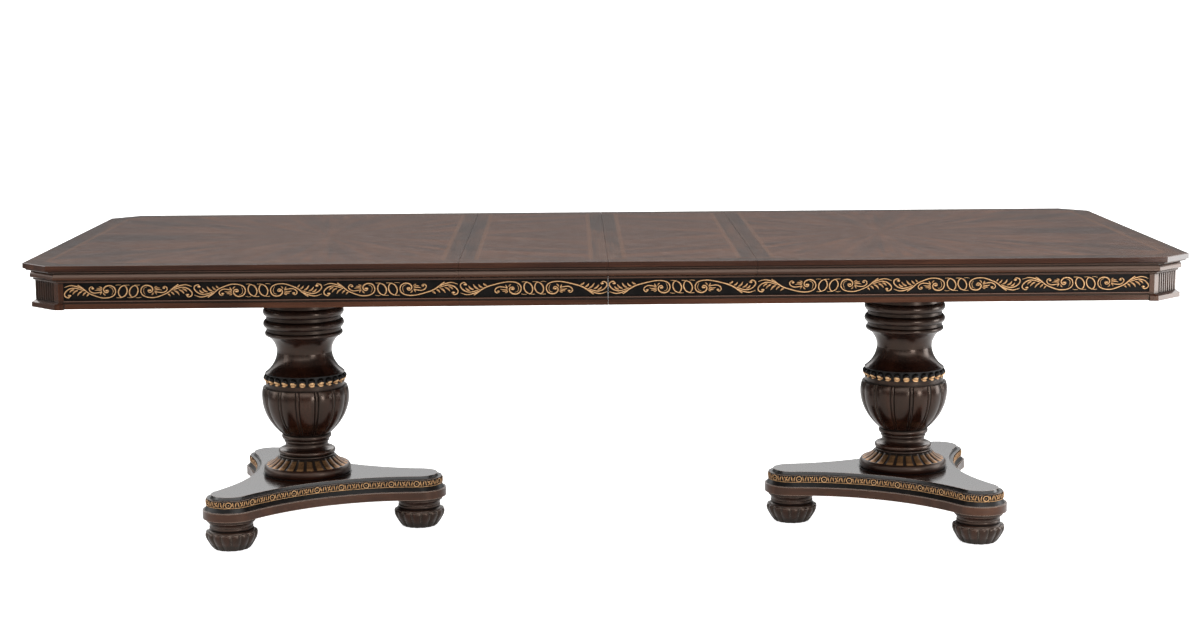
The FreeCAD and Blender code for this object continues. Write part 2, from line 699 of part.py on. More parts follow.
def urn_bowl():
    """Urn with broad reeds and narrow ribs between them, under a plain neck."""
    shoulder = urn_belly + URN_SHOULDER_HEIGHT
    belly_height = urn_belly - stem_top
    wires = []
    for share in URN_SECTIONS:
        radius = swell(URN_FOOT_RADIUS, URN_RADIUS, URN_FULLNESS, share)
        wires.append(reeded_wire(stem_top + share * belly_height, radius))
    wires.append(reeded_wire(shoulder, URN_HEAD_RADIUS))
    reeds = Part.makeLoft(wires, True)
    spigot = disc(SPIGOT_RADIUS - SPIGOT_CLEARANCE, stem_top - SPIGOT_HEIGHT, stem_top)
    neck = disc(URN_NECK_RADIUS, shoulder, urn_top)
    bore = disc(rod_bore, stem_top - SPIGOT_HEIGHT, urn_top)
    socket = disc(SPIGOT_RADIUS, urn_top - SPIGOT_HEIGHT - SPIGOT_CLEARANCE, urn_top)
    return reeds.fuse([spigot, neck]).cut([bore, socket])


def column_stem():
    """Ring, waist and torus under the urn, each set off by a fillet."""
    fillet_top = collar_top + TORUS_FILLET_HEIGHT
    torus_top = fillet_top + TORUS_HEIGHT
    waist_top = torus_top + STEM_WAIST_HEIGHT
    flare_top = waist_top + STEM_FLARE_HEIGHT
    ring_bottom = stem_top - STEM_RING_HEIGHT
    outside = [(TORUS_FILLET_CORE_RADIUS, collar_top), (TORUS_FILLET_CORE_RADIUS, fillet_top, FILLET_SWELL),
               (TORUS_CORE_RADIUS, fillet_top), (TORUS_CORE_RADIUS, torus_top, TORUS_SWELL),
               (STEM_WAIST_RADIUS, waist_top, -STEM_WAIST_SAG),
               (STEM_FLARE_RADIUS, flare_top, -STEM_FLARE_SAG),
               (STEM_FILLET_CORE_RADIUS, ring_bottom, FILLET_SWELL), (STEM_RING_CORE_RADIUS, ring_bottom),
               (STEM_RING_CORE_RADIUS, stem_top, STEM_RING_SWELL)]
    return turned(collar_top, stem_top, outside)


def leaf_collar():
    """Base disc with a flared collar of petals on it."""
    disc_top = plinth_top + DISC_HEIGHT
    base = turned(plinth_top, disc_top, [(DISC_CORE_RADIUS, plinth_top),
                                         (DISC_CORE_RADIUS, disc_top, DISC_RADIUS - DISC_CORE_RADIUS)],
                  socket=False)
    wires = []
    for share in COLLAR_SECTIONS:
        radius = swell(COLLAR_FOOT_RADIUS, COLLAR_HEAD_RADIUS, COLLAR_FLARE, share)
        depth = PETAL_DEPTH * radius / COLLAR_FOOT_RADIUS
        wires.append(lobed_wire(disc_top + share * COLLAR_HEIGHT, radius, depth, PETAL_COUNT))
    petals = Part.makeLoft(wires, True)
    bore = disc(rod_bore, disc_top, collar_top)
    socket = disc(SPIGOT_RADIUS, collar_top - SPIGOT_HEIGHT - SPIGOT_CLEARANCE, collar_top)
    return base.fuse(petals.cut([bore, socket]))


def foot_places():
    """Plan centres of the inner foot and the outer back and front feet."""
    return [polar(FOOT_CIRCLE_RADIUS, 2 * math.pi * k / FOOT_COUNT, 0) for k in range(FOOT_COUNT)]


def plinth_wire(offset, z):
    """Three round lobes over the feet joined by hollow sides, offset outwards."""
    lobes = foot_places()
    lobe_radius = PLINTH_LOBE_RADIUS + offset
    side_radius = PLINTH_SIDE_RADIUS - offset
    sides = []
    for k in range(FOOT_COUNT):
        here, there = lobes[k], lobes[(k + 1) % FOOT_COUNT]
        middle = (here + there) * 0.5
        outward = FreeCAD.Vector(middle).normalize()
        reach = math.sqrt((lobe_radius + side_radius) ** 2 - (there - here).Length ** 2 / 4)
        centre = middle + outward * reach
        leave = here + (centre - here).normalize() * lobe_radius
        arrive = there + (centre - there).normalize() * lobe_radius
        sides.append((leave, centre - outward * side_radius, arrive))
    edges = []
    for k in range(FOOT_COUNT):
        arrive = sides[k - 1][2]
        leave, hollow, end = sides[k]
        tip = lobes[k] + FreeCAD.Vector(lobes[k]).normalize() * lobe_radius
        edges.append(Part.Arc(arrive, tip, leave).toShape())
        edges.append(Part.Arc(leave, hollow, end).toShape())
    wire = Part.Wire(edges)
    wire.translate(UP * z)
    return wire


def plinth_layer(low_offset, high_offset, bottom, top):
    """Layer of the plinth between two levels, splayed where its offsets differ."""
    if low_offset == high_offset:
        return Part.Face(plinth_wire(low_offset, bottom)).extrude(UP * (top - bottom))
    return Part.makeLoft([plinth_wire(low_offset, bottom), plinth_wire(high_offset, top)], True, True)


def plinth_pieces():
    """Base with the foot sockets and rod recess, stepped band, and cap."""
    step_top = band_bottom + PLINTH_STEP_HEIGHT
    base = plinth_layer(PLINTH_BASE_OFFSET, PLINTH_BASE_OFFSET, plinth_bottom, band_bottom)
    step = plinth_layer(PLINTH_STEP_OFFSET, PLINTH_BAND_OFFSET, band_bottom, step_top)
    band = plinth_layer(PLINTH_BAND_OFFSET, PLINTH_BAND_OFFSET, step_top, cap_bottom)
    cap = plinth_layer(PLINTH_CAP_OFFSET, 0.0, cap_bottom, plinth_top)
    bore = disc(rod_bore, plinth_bottom, plinth_top)
    socket = disc(SPIGOT_RADIUS, plinth_top - SPIGOT_HEIGHT - SPIGOT_CLEARANCE, plinth_top)
    recess = disc(RECESS_RADIUS, plinth_bottom, recess_top)
    foot_sockets = [disc(TENON_RADIUS + TENON_CLEARANCE, plinth_bottom, tenon_top + TENON_CLEARANCE,
                         place.x, place.y) for place in foot_places()]
    return {
        "plinth_base": base.cut([bore, recess] + foot_sockets),
        "plinth_band": step.fuse(band).cut([bore, socket, recess]).removeSplitter(),
        "plinth_cap": cap.cut([bore, socket]),
    }


def foot():
    """Gadrooned bun with a scalloped crest, under a bead and a flared cap with a tenon."""
    wires = []
    for share in BUN_SECTIONS:
        radius = swell(BUN_FOOT_RADIUS, BUN_RADIUS, BUN_FULLNESS, share)
        depth = BUN_LOBE_DEPTH * radius / BUN_RADIUS
        wires.append(lobed_wire(GLIDE_HEIGHT + share * BUN_BELLY_HEIGHT, radius, depth, BUN_LOBES))
    wires.append(lobed_wire(crest_level, BUN_CREST_RADIUS, BUN_LOBE_DEPTH, BUN_LOBES))
    bun = Part.makeLoft(wires, True)
    bead_top = foot_bead_bottom + FOOT_BEAD_HEIGHT
    flare_top = bead_top + FOOT_FLARE_HEIGHT
    top = revolved([(0, crest_level), (SHOULDER_RADIUS, crest_level),
                    (FOOT_NECK_RADIUS, foot_bead_bottom, SHOULDER_SWELL),
                    (FOOT_NECK_RADIUS, bead_top, FOOT_BEAD_SWELL), (FOOT_FLARE_FOOT_RADIUS, bead_top),
                    (FOOT_FLARE_RADIUS, flare_top, -FOOT_FLARE_SAG), (FOOT_FLARE_RADIUS, plinth_bottom),
                    (TENON_RADIUS, plinth_bottom), (TENON_RADIUS, tenon_top), (0, tenon_top)])
    pin_hole = disc(GLIDE_PIN_RADIUS + PIN_FIT, GLIDE_HEIGHT, GLIDE_HEIGHT + GLIDE_PIN_LENGTH)
    return bun.fuse(top).cut(pin_hole)


def glide():
    """Nail-on glide under a foot."""
    return disc(GLIDE_RADIUS, 0, GLIDE_HEIGHT).fuse(
        disc(GLIDE_PIN_RADIUS, GLIDE_HEIGHT, GLIDE_HEIGHT + GLIDE_PIN_LENGTH))


def washer(bottom):
    """Flat washer on the rod."""
    top = bottom + WASHER_THICKNESS
    return disc(WASHER_RADIUS, bottom, top).cut(disc(ROD_RADIUS + NUT_FIT, bottom, top))


def nut(bottom):
    """Hexagon nut on the rod."""
    turn = 2 * math.pi / NUT_SIDES
    points = [polar(NUT_ACROSS_CORNERS / 2, turn * k, bottom) for k in range(NUT_SIDES)]
    corners = [(point.x, point.y) for point in points]
    top = bottom + NUT_HEIGHT
    return prism(corners, bottom, top).cut(disc(ROD_RADIUS + NUT_FIT, bottom, top))


def tie_rod():
    """Rod from the plinth to the top plate with a nut and washer at each end."""
    upper_washer = plate_top
    upper_nut = upper_washer + WASHER_THICKNESS
    rod = disc(ROD_RADIUS, plinth_bottom, upper_nut + NUT_HEIGHT + ROD_END)
    return Part.makeCompound([rod, washer(recess_top - WASHER_THICKNESS), nut(plinth_bottom + ROD_END),
                              washer(upper_washer), nut(upper_nut)])


def pedestal_pieces():
    """Pieces of one pedestal about the Z axis."""
    pieces = {
        "column_neck": column_neck(),
        "bead_ring": bead_ring(),
        "urn_bowl": urn_bowl(),
        "column_stem": column_stem(),
        "leaf_collar": leaf_collar(),
        "tie_rod": tie_rod(),
    }
    pieces.update(plinth_pieces())
    bun_foot = foot()
    glides = []
    for name, place in zip(("inner", "outer_back", "outer_front"), foot_places()):
        pieces[name + "_foot"] = bun_foot.translated(place)
        glides.append(glide().translated(place))
    pieces["foot_glides"] = Part.makeCompound(glides)
    return pieces


def standing(shape, x, turn):
    """Pedestal piece turned about its column and moved to its place along the table."""
    return shape.rotated(ORIGIN, UP, turn).translated(FreeCAD.Vector(x, 0, 0))


# Whole table

def table():
    """Every piece of the table by its node name."""
    nodes = {}
    for name, shape in half_pieces().items():
        nodes["right_" + name] = shape
        nodes["left_" + name] = mirrored_x(shape)
    left_slide_y = SLIDE_INNER_Y + 2 * (SLIDE_WIDTH + SLIDE_GAP)
    nodes["left_slides"] = slide_members(left_slide_y, 1, -SLIDE_OUTER_X, SLIDE_REACH)
    nodes["right_slides"] = slide_members(SLIDE_INNER_Y, -1, -SLIDE_REACH, SLIDE_OUTER_X)
    nodes["centre_slides"] = centre_slides()
    for name, shape in pedestal_pieces().items():
        nodes["left_" + name] = standing(shape, -PEDESTAL_X, LEFT_PEDESTAL_TURN)
        nodes["right_" + name] = standing(mirrored_x(shape), PEDESTAL_X, RIGHT_PEDESTAL_TURN)
    leaf_left = -LEAF_LENGTH + SEAM_GAP / 2
    middle = SEAM_GAP / 2
    leaf_right = LEAF_LENGTH - SEAM_GAP / 2
    first_cuts = pin_slots(leaf_left, -1) + pin_holes(-middle, 1)
    second_cuts = pin_slots(middle, -1) + pin_slots(leaf_right, 1)
    for name, shape in leaf_pieces(leaf_left, -middle, first_cuts).items():
        nodes["leaf_1_" + name] = shape
    for name, shape in leaf_pieces(middle, leaf_right, second_cuts).items():
        nodes["leaf_2_" + name] = shape
    nodes["leaf_1_alignment_pins"] = Part.makeCompound(pins(-middle, 1))
    return nodes


os.makedirs("parts", exist_ok=True)
for node_name, node_shape in table().items():
    node_shape.exportStep(os.path.join("parts", node_name + ".step"))
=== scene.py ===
import json
import math

import bpy
import numpy as np
from mathutils import Matrix, Vector


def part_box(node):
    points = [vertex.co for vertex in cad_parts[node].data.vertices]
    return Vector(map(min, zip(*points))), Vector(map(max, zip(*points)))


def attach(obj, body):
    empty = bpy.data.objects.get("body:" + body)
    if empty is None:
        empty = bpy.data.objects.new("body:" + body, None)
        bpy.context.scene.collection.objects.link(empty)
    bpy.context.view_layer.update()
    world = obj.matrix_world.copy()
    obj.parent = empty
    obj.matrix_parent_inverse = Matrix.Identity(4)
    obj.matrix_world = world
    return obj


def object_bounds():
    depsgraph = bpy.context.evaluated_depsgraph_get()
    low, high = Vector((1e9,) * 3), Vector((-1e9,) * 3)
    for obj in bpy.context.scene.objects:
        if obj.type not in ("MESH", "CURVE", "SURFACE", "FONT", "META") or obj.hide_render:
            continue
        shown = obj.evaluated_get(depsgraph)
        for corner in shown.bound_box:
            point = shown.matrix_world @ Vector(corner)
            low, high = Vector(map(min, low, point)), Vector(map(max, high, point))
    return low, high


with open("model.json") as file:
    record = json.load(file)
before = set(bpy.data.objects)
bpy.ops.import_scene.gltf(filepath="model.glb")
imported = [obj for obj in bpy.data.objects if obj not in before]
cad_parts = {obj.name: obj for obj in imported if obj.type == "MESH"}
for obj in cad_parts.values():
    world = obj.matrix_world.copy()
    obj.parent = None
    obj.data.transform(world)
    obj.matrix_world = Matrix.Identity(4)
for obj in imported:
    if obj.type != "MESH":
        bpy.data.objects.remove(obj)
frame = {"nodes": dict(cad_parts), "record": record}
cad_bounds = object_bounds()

NODES = frame["nodes"]
MM = 0.001
SIDES = ("left", "right")
LEAVES = ("leaf_1", "leaf_2")
FEET = ("inner_foot", "outer_back_foot", "outer_front_foot")
ALONG_X = np.array((1.0, 0.0, 0.0))
ALONG_Y = np.array((0.0, 1.0, 0.0))
UP = np.array((0.0, 0.0, 1.0))

# Photograph's frame and the camera that took it, fitted to the top's corners, seams and feet
IMAGE_WIDTH_PX = 1200.0
FOCAL_PX = 2171.0
SENSOR_MM = 36.0
CAMERA_PLACE = Vector((-0.0875, -5.6923, 1.4094))
CAMERA_YAW = 0.0132
CAMERA_PITCH = 0.1454
CAMERA_ROLL = 0.0068

# Table top in plan, from the frame
HALF_LENGTH, HALF_WIDTH = cad_bounds[1][:2]
LEAF_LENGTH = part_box("right_top_panel")[0][0]
CANT_LEG = 71 * MM
CANT_LINE = HALF_WIDTH + HALF_LENGTH - CANT_LEG

# Veneer: rays from a point of each half, slanting grain on the leaves, crossbanded border, bands along
# the seams, and a pale ribbon on the inner edge of the border and bands
RAY_POINT = 725 * MM
RAY_RADIUS = 450 * MM
LEAF_SLANT = math.radians(24.0)
BORDER_WIDTH = 55 * MM
SEAM_BAND_WIDTH = 40 * MM
RIBBON_WIDTH = 11 * MM

# Layers of the grain's pattern from which the field, the seam bands and the border are cut
FIELD_LAYER = 1.9
SEAM_BAND_LAYER = 3.0
BORDER_LAYER = 7.0

# Petals of the collar, beads of the ring and lobes of a foot, counted round from the inner foot
PETAL_COUNT = 24
PETAL_HEIGHT = 22.5 * MM
BEAD_COUNT = 26
# Gold patch set a little low on each bead; the black above it is painted shadow of the overhang
BEAD_GILT_SHARE = 0.90
BEAD_GILT_REACH = 8.6 * MM
BEAD_GILT_DROP = 1.6 * MM
BUN_LOBES = 16
BUN_HEIGHT = 45 * MM
BUN_BLUR = 2 * MM

# Floor, in metres: its reach, the drop of the hidden floor that lights the table, and the far and near
# edge of the pool of light on that one. Then the glow of both and their finish
FLOOR_REACH = 5000.0
BOUNCE_DROP = 0.0005
POOL_EDGE = (4.4, 1.7)
FLOOR_GLOW = 0.78
BOUNCE_GLOW = 0.22
FLOOR_ROUGHNESS = 0.75
FLOOR_SHEEN = 0.2

# Room light by elevation in degrees
ROOM_LIGHT = ((-90, 1.0), (-1, 1.0), (1.5, 0.16), (8.5, 0.17), (11.5, 1.2), (15.5, 1.6), (18, 3.4),
              (28, 3.0), (38, 0.8), (90, 0.5))

# Lights: place, target and size in metres, and power in watts
LIGHTS = {
    "overhead": ((1.8, -2.4, 3.6), (0.3, 0.0, 0.7), (3.6, 1.6), 88.0),
    "right_front": ((3.02, -4.2, 0.7), (0.7, 0.0, 0.6), (1.2, 1.2), 72.0),
    "right_side": ((3.8, 0.1, 0.6), (1.2, 0.0, 0.6), (1.2, 1.4), 36.0),
    "left_side": ((-3.8, -0.8, 0.9), (-1.2, 0.0, 0.6), (1.0, 1.2), 9.0),
}


def rgb(red, green, blue):
    """Opaque colour."""
    return (red, green, blue, 1.0)


# Woods, each from a dark streak to a light one, and the colours of pores and of the veneer's figure, bands
# and ribbons
FRAME_WOOD = (rgb(0.019, 0.0068, 0.0038), rgb(0.030, 0.0108, 0.0058), rgb(0.046, 0.0170, 0.0088))
# Band wood: the frame wood made lighter, as painted reflected light of the floor on the bands
BAND_WOOD = (rgb(0.025, 0.0090, 0.0050), rgb(0.039, 0.0142, 0.0076), rgb(0.060, 0.0222, 0.0115))
# Turned wood: much darker than the frame wood, a dark glazed finish with painted shade for the column
# standing under the top
TURNED_WOOD = (rgb(0.0044, 0.0013, 0.0008), rgb(0.0092, 0.0027, 0.0014), rgb(0.0190, 0.0056, 0.0028))
EDGE_WOOD = (rgb(0.0190, 0.0068, 0.0038), rgb(0.0320, 0.0116, 0.0062), rgb(0.0540, 0.0196, 0.0102))
VENEER_WOOD = (rgb(0.064, 0.0200, 0.0072), rgb(0.106, 0.0350, 0.0122), rgb(0.162, 0.0570, 0.0205))
BARE_WOOD = (rgb(0.014, 0.0070, 0.0042), rgb(0.030, 0.0155, 0.0092))
PORE = rgb(0.004, 0.002, 0.0015)
VENEER_SHADE = rgb(0.026, 0.0080, 0.0034)
VENEER_BAND_TINT = rgb(0.66, 0.72, 0.76)
RIBBON = rgb(0.170, 0.068, 0.027)

# Other colours, and where two tones lie on a noise
WHITE = rgb(1.0, 1.0, 1.0)
WARM_SHEEN = rgb(1.0, 0.77, 0.64)
# Dark glaze, which also serves as painted shade in crevices and valleys
GLAZE_AND_SHADE = rgb(0.0011, 0.0009, 0.0008)
# Pale colour of painted highlights on edges and on upward faces
HIGHLIGHT_PAINT = rgb(0.30, 0.225, 0.185)
BLACK = rgb(0.0024, 0.0020, 0.0018)
BLACK_WORN = rgb(0.0070, 0.0052, 0.0044)
GOLD_DARK = rgb(0.050, 0.026, 0.012)
GOLD = rgb(0.285, 0.152, 0.066)
GOLD_LIGHT = rgb(0.78, 0.50, 0.26)
STEEL = (rgb(0.36, 0.36, 0.35), rgb(0.56, 0.56, 0.55))
PLASTIC = (rgb(0.018, 0.016, 0.014), rgb(0.032, 0.029, 0.026))
FLOOR = (rgb(0.86, 0.86, 0.855), rgb(0.88, 0.88, 0.875))
FLOOR_FAR = rgb(0.20, 0.20, 0.20)
TWO_TONE_STOPS = (0.3, 0.7)

# Streaks: scale along and across the grain, detail and distortion
FINE_STREAKS = (4.0, 210.0, 6.0, 0.4)
BROAD_STREAKS = (1.6, 16.8, 3.0, 0.9)
PORE_STREAKS = (32.0, 1260.0, 2.0, 0.0)
FIGURE_STREAKS = (1.4, 5.0, 2.0, 1.4)
BARE_STREAKS = (6.0, 150.0, 5.0, 0.6)

# Tone of a wood from its streaks, and where the pores and the veneer's dark figure lie
FINE_SHARE = 0.60
BROAD_SHARE = 0.95
TONE_SHIFT = -0.26
TONE_STOPS = (0.36, 0.52, 0.72)
PORE_LIMITS = (0.60, 0.74)
PORE_SHARE = 0.3
FIGURE_LIMITS = (0.58, 0.39)
FIGURE_SHARE = 0.62
VENEER_BAND_SHARE = 0.8
RIBBON_SHARE = 0.6

# Noises: scale, detail and roughness
WEAR_NOISE = (34.0, 4.0, 0.55)
WAVE_NOISE = (4.0, 1.0, 0.55)
CLOUD_NOISE = (60.0, 4.0, 0.55)
BRUSH_NOISE = (420.0, 3.0, 0.55)
GILT_RUB_NOISE = (220.0, 4.0, 0.65)
GILT_BRUSH_NOISE = (620.0, 3.0, 0.55)
SPANGLE_NOISE = (240.0, 3.0, 0.55)
SPECK_NOISE = (900.0, 2.0, 0.55)
FLOOR_NOISE = (3.0, 3.0, 0.55)

# Bumps: strength and depth
LACQUER_BUMP = (0.05, 0.4 * MM)
EBONISED_BUMP = (0.08, 0.3 * MM)
GILT_BUMP = (0.12, 0.3 * MM)
BARE_BUMP = (0.15, 0.4 * MM)
PLASTIC_BUMP = (0.1, 0.1 * MM)

# Roughness: share of a noise in it, and its least value
GILT_POLISH = (0.22, 0.32)
PETAL_POLISH = (0.2, 0.26)
BARE_POLISH = (0.2, 0.45)
STEEL_POLISH = (0.25, 0.25)
PLASTIC_POLISH = (0.2, 0.4)

# Black ground: share of its cloud in the roughness, and where black and worn black lie on the cloud
EBONISED_WEAR = 0.25
WORN_STOPS = (0.40, 0.78)

# Lacquer: openness from full glaze and painted shade to none, wear in the glaze and the polish, and painted
# highlights on edges
GLAZE_LIMITS = (0.62, 1.04)
GLAZE_WEAR = 0.12
GLAZE_DULLING = 0.3
POLISH_WEAR = 0.08
LACQUER_SHEEN = 0.40
EDGE_HIGHLIGHT = 0.85
FINE_EDGE = 2.2 * MM
EDGE_ALIKE = (0.995, 0.88)
EDGE_OPEN = (0.5, 0.9)
EDGE_SAMPLES = 6
CREVICE_SAMPLES = 8

# Upward share of a normal: where mouldings get a painted highlight, and where the top and the plinth cap
# begin
UPWARD_HIGHLIGHT_START = (0.0, 0.22)
UPWARD_HIGHLIGHT_END = (0.60, 0.40)
TOP_FACING = (0.6, 0.9)
CAP_FACING = (0.75, 0.95)

# Glaze and painted shade between a foot's lobes, by the share of a lobe
VALLEY_LIMITS = (0.45, 0.95)
VALLEY_GLAZE_AND_SHADE = 0.92

# Gilding: its tone from the height and rub of a carving, bright with a painted highlight on crests and dark
# with painted shade low down, its metal, and the shapes of beads and petals
GILT_STOPS = ((0.16, BLACK_WORN), (0.36, GOLD_DARK), (0.62, GOLD), (0.90, GOLD_LIGHT))
GILT_CREST_POWER = 3.2
GILT_CREST_SHARE = 0.74
GILT_SHIFT = -0.06
GILT_RUB_SHARE = 0.30
GILT_SHEEN = 0.2
GILT_METAL = 0.55
METAL_LIMITS = (0.2, 0.7)
BEAD_METAL_LIMITS = (0.2, 0.6)
BEAD_EDGE = (1.10, 0.60)
BEAD_GROUND = (0.0, 0.3)
PETAL_SIDES = (0.80, 0.62)
PETAL_TOP = (0.96, 0.80)
PETAL_RIM = (0.24, 0.06)
PETAL_RIM_LIFT = 0.12
PETAL_LEVEL = 0.78
PETAL_METAL = 0.5
PETAL_SHEEN = 0.36


def centre_of(node):
    """Middle of a node's box at rest."""
    low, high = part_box(node)
    return (np.array(low) + np.array(high)) / 2


def heading(way):
    """Angle of a direction in plan."""
    return math.atan2(way[1], way[0])


AXES = {side: centre_of(side + "_bead_ring") for side in SIDES}
TURNS = {side: heading(centre_of(side + "_inner_foot") - AXES[side]) for side in SIDES}


# Materials

def fill_ramp(node, stops):
    """Sets a ramp node's (place, colour) stops."""
    elements = node.color_ramp.elements
    while len(elements) < len(stops):
        elements.new(1.0)
    for element, (place, colour) in zip(elements, stops):
        element.position = place
        element.color = colour


class Graph:
    """One material's nodes, built with a few short calls."""

    def __init__(self, name):
        self.material = bpy.data.materials.new(name)
        self.material.use_nodes = True
        self.tree = self.material.node_tree
        self.shader = self.tree.nodes["Principled BSDF"]

    def node(self, kind, inputs=None, **settings):
        """Adds a node, sets its properties, and links or sets its inputs by name or number."""
        made = self.tree.nodes.new(kind)
        for key, value in settings.items():
            setattr(made, key, value)
        for key, value in (inputs or {}).items():
            self.put(made.inputs[key], value)
        return made

    def put(self, socket, value):
        """Links an output to a socket, or sets the socket's own value."""
        if isinstance(value, bpy.types.NodeSocket):
            self.tree.links.new(value, socket)
        else:
            socket.default_value = value

    def finish(self, **inputs):
        """Feeds the shader's inputs, named with underscores for spaces, and returns the material."""
        for key, value in inputs.items():
            self.put(self.shader.inputs[key.replace("_", " ")], value)
        return self.material

    def math(self, operation, *values):
        """Number from a math node."""
        made = self.node("ShaderNodeMath", operation=operation)
        for socket, value in zip(made.inputs, values):
            self.put(socket, value)
        return made.outputs[0]

    def times(self, first, second):
        """Product of two numbers."""
        return self.math("MULTIPLY", first, second)

    def minus(self, first, second):
        """Difference of two numbers."""
        return self.math("SUBTRACT", first, second)

    def scaled(self, value, factor, shift):
        """Number times a factor, shifted."""
        return self.math("MULTIPLY_ADD", value, factor, shift)

    def size(self, value):
        """Number without its sign."""
        return self.math("ABSOLUTE", value)

    def length(self, vector):
        """Length of a vector."""
        return self.node("ShaderNodeVectorMath", {0: vector}, operation="LENGTH").outputs["Value"]

    def band(self, value, low, high):
        """Smooth step from 0 at low to 1 at high, or from 1 to 0 where high is the lower."""
        made = self.node("ShaderNodeMapRange", {"Value": value, "From Min": low, "From Max": high},
                         interpolation_type="SMOOTHSTEP")
        return made.outputs[0]

    def pick(self, factor, first, second):
        """Number between two numbers."""
        made = self.node("ShaderNodeMix", data_type="FLOAT")
        self.put(made.inputs["Factor"], factor)
        self.put(made.inputs[2], first)
        self.put(made.inputs[3], second)
        return made.outputs[0]

    def mix(self, factor, first, second, blend="MIX"):
        """Colour between two colours, or the first one blended with the second in part."""
        made = self.node("ShaderNodeMix", data_type="RGBA", blend_type=blend)
        self.put(made.inputs["Factor"], factor)
        self.put(made.inputs[6], first)
        self.put(made.inputs[7], second)
        return made.outputs[2]

    def ramp(self, factor, *stops):
        """Colour from (place, colour) stops."""
        made = self.node("ShaderNodeValToRGB", {"Fac": factor})
        fill_ramp(made, stops)
        return made.outputs[0]

    def two_tone(self, value, tones):
        """Colour of a noise between two tones."""
        return self.ramp(value, *zip(TWO_TONE_STOPS, tones))

    def place(self):
        """Point on the piece in the row frame, in metres."""
        return self.node("ShaderNodeTexCoord").outputs["Object"]

    def facing(self):
        """Components of the surface's normal on the piece."""
        return self.split(self.node("ShaderNodeTexCoord").outputs["Normal"])

    def split(self, vector):
        """Components of a vector."""
        return self.node("ShaderNodeSeparateXYZ", {0: vector}).outputs

    def join(self, x, y, z):
        """Vector from its components."""
        return self.node("ShaderNodeCombineXYZ", {0: x, 1: y, 2: z}).outputs[0]

    def noise(self, vector, scale=1.0, detail=4.0, roughness=0.55, distortion=0.0):
        """Noise value from 0 to 1."""
        made = self.node("ShaderNodeTexNoise", {"Vector": vector, "Scale": scale, "Detail": detail,
                                                "Roughness": roughness, "Distortion": distortion})
        return made.outputs["Fac"]

    def streaks(self, vector, along, across, detail, distortion):
        """Noise drawn out along X."""
        drawn = self.node("ShaderNodeMapping", {"Vector": vector, "Scale": (along, across, across)})
        return self.noise(drawn.outputs[0], detail=detail, distortion=distortion)

    def bump(self, height, strength, depth):
        """Normal bent by a height."""
        made = self.node("ShaderNodeBump", {"Height": height, "Strength": strength, "Distance": depth})
        return made.outputs[0]

    def openness(self, reach):
        """Openness of the surface, 0 in a crevice and 1 in the open."""
        made = self.node("ShaderNodeAmbientOcclusion", {"Distance": reach}, samples=CREVICE_SAMPLES)
        return made.outputs["AO"]

    def edges(self, reach):
        """Nearness to a sharp edge, 1 on it and 0 a reach away."""
        rounded = self.node("ShaderNodeBevel", {"Radius": reach}, samples=EDGE_SAMPLES).outputs[0]
        flat = self.node("ShaderNodeNewGeometry").outputs["Normal"]
        alike = self.node("ShaderNodeVectorMath", {0: rounded, 1: flat}, operation="DOT_PRODUCT")
        return self.band(alike.outputs["Value"], *EDGE_ALIKE)

    def turn_share(self, side, count, piece="bead_ring"):
        """Share of a round pattern's repeat about a piece's axis, 0 at its middle and 1 half way on."""
        x, y = self.split(self.place())[:2]
        axis = centre_of(side + "_" + piece)
        angle = self.math("ARCTAN2", self.minus(y, axis[1]), self.minus(x, axis[0]))
        turns = self.times(self.minus(angle, TURNS[side]), count / math.tau)
        return self.times(self.size(self.minus(turns, self.math("ROUND", turns))), 2.0)


def wood_tones(graph, place, tones):
    """Colour of wood with its grain along X of a place."""
    fine = graph.streaks(place, *FINE_STREAKS)
    broad = graph.streaks(place, *BROAD_STREAKS)
    tone = graph.scaled(fine, FINE_SHARE, graph.scaled(broad, BROAD_SHARE, TONE_SHIFT))
    return graph.ramp(tone, *zip(TONE_STOPS, tones))


def grain(graph, place, tones):
    """Wood with open pores and its grain along X of a place, as (colour, pores)."""
    pores = graph.band(graph.streaks(place, *PORE_STREAKS), *PORE_LIMITS)
    return graph.mix(graph.times(pores, PORE_SHARE), wood_tones(graph, place, tones), PORE), pores


def along_run(graph, place):
    """Place with X along a moulding's run, which is square to the way it faces."""
    x, y, z = graph.split(place)
    normal_x, normal_y = graph.facing()[:2]
    sideways = graph.math("GREATER_THAN", graph.size(normal_x), graph.size(normal_y))
    return graph.join(graph.pick(sideways, x, y), graph.pick(sideways, y, x), z)


def upright(graph, place):
    """Place with X up the piece."""
    x, y, z = graph.split(place)
    return graph.join(z, y, x)


def lacquer(graph, place, colour, relief, crevice, gloss, sheen=WARM_SHEEN, edge=None):
    """Finishes a wood with glaze and painted shade in its crevices, painted highlights on its edges, and an
    uneven polish.
    """
    worn = graph.noise(place, *WEAR_NOISE)
    # Openness from ambient occlusion: glaze and painted shade where the surface is enclosed
    open_share = graph.band(graph.scaled(worn, GLAZE_WEAR, graph.openness(crevice)), *GLAZE_LIMITS)
    # Painted highlight along sharp edges
    if edge:
        highlight_mask = graph.times(graph.times(graph.edges(edge), open_share), EDGE_HIGHLIGHT)
        colour = graph.mix(highlight_mask, colour, HIGHLIGHT_PAINT)
    colour = graph.mix(open_share, GLAZE_AND_SHADE, colour)
    polish = graph.pick(open_share, gloss + GLAZE_DULLING, gloss)
    return graph.finish(Base_Color=colour, Roughness=graph.scaled(worn, POLISH_WEAR, polish),
                        Normal=graph.bump(relief, *LACQUER_BUMP),
                        Specular_IOR_Level=LACQUER_SHEEN, Specular_Tint=sheen)


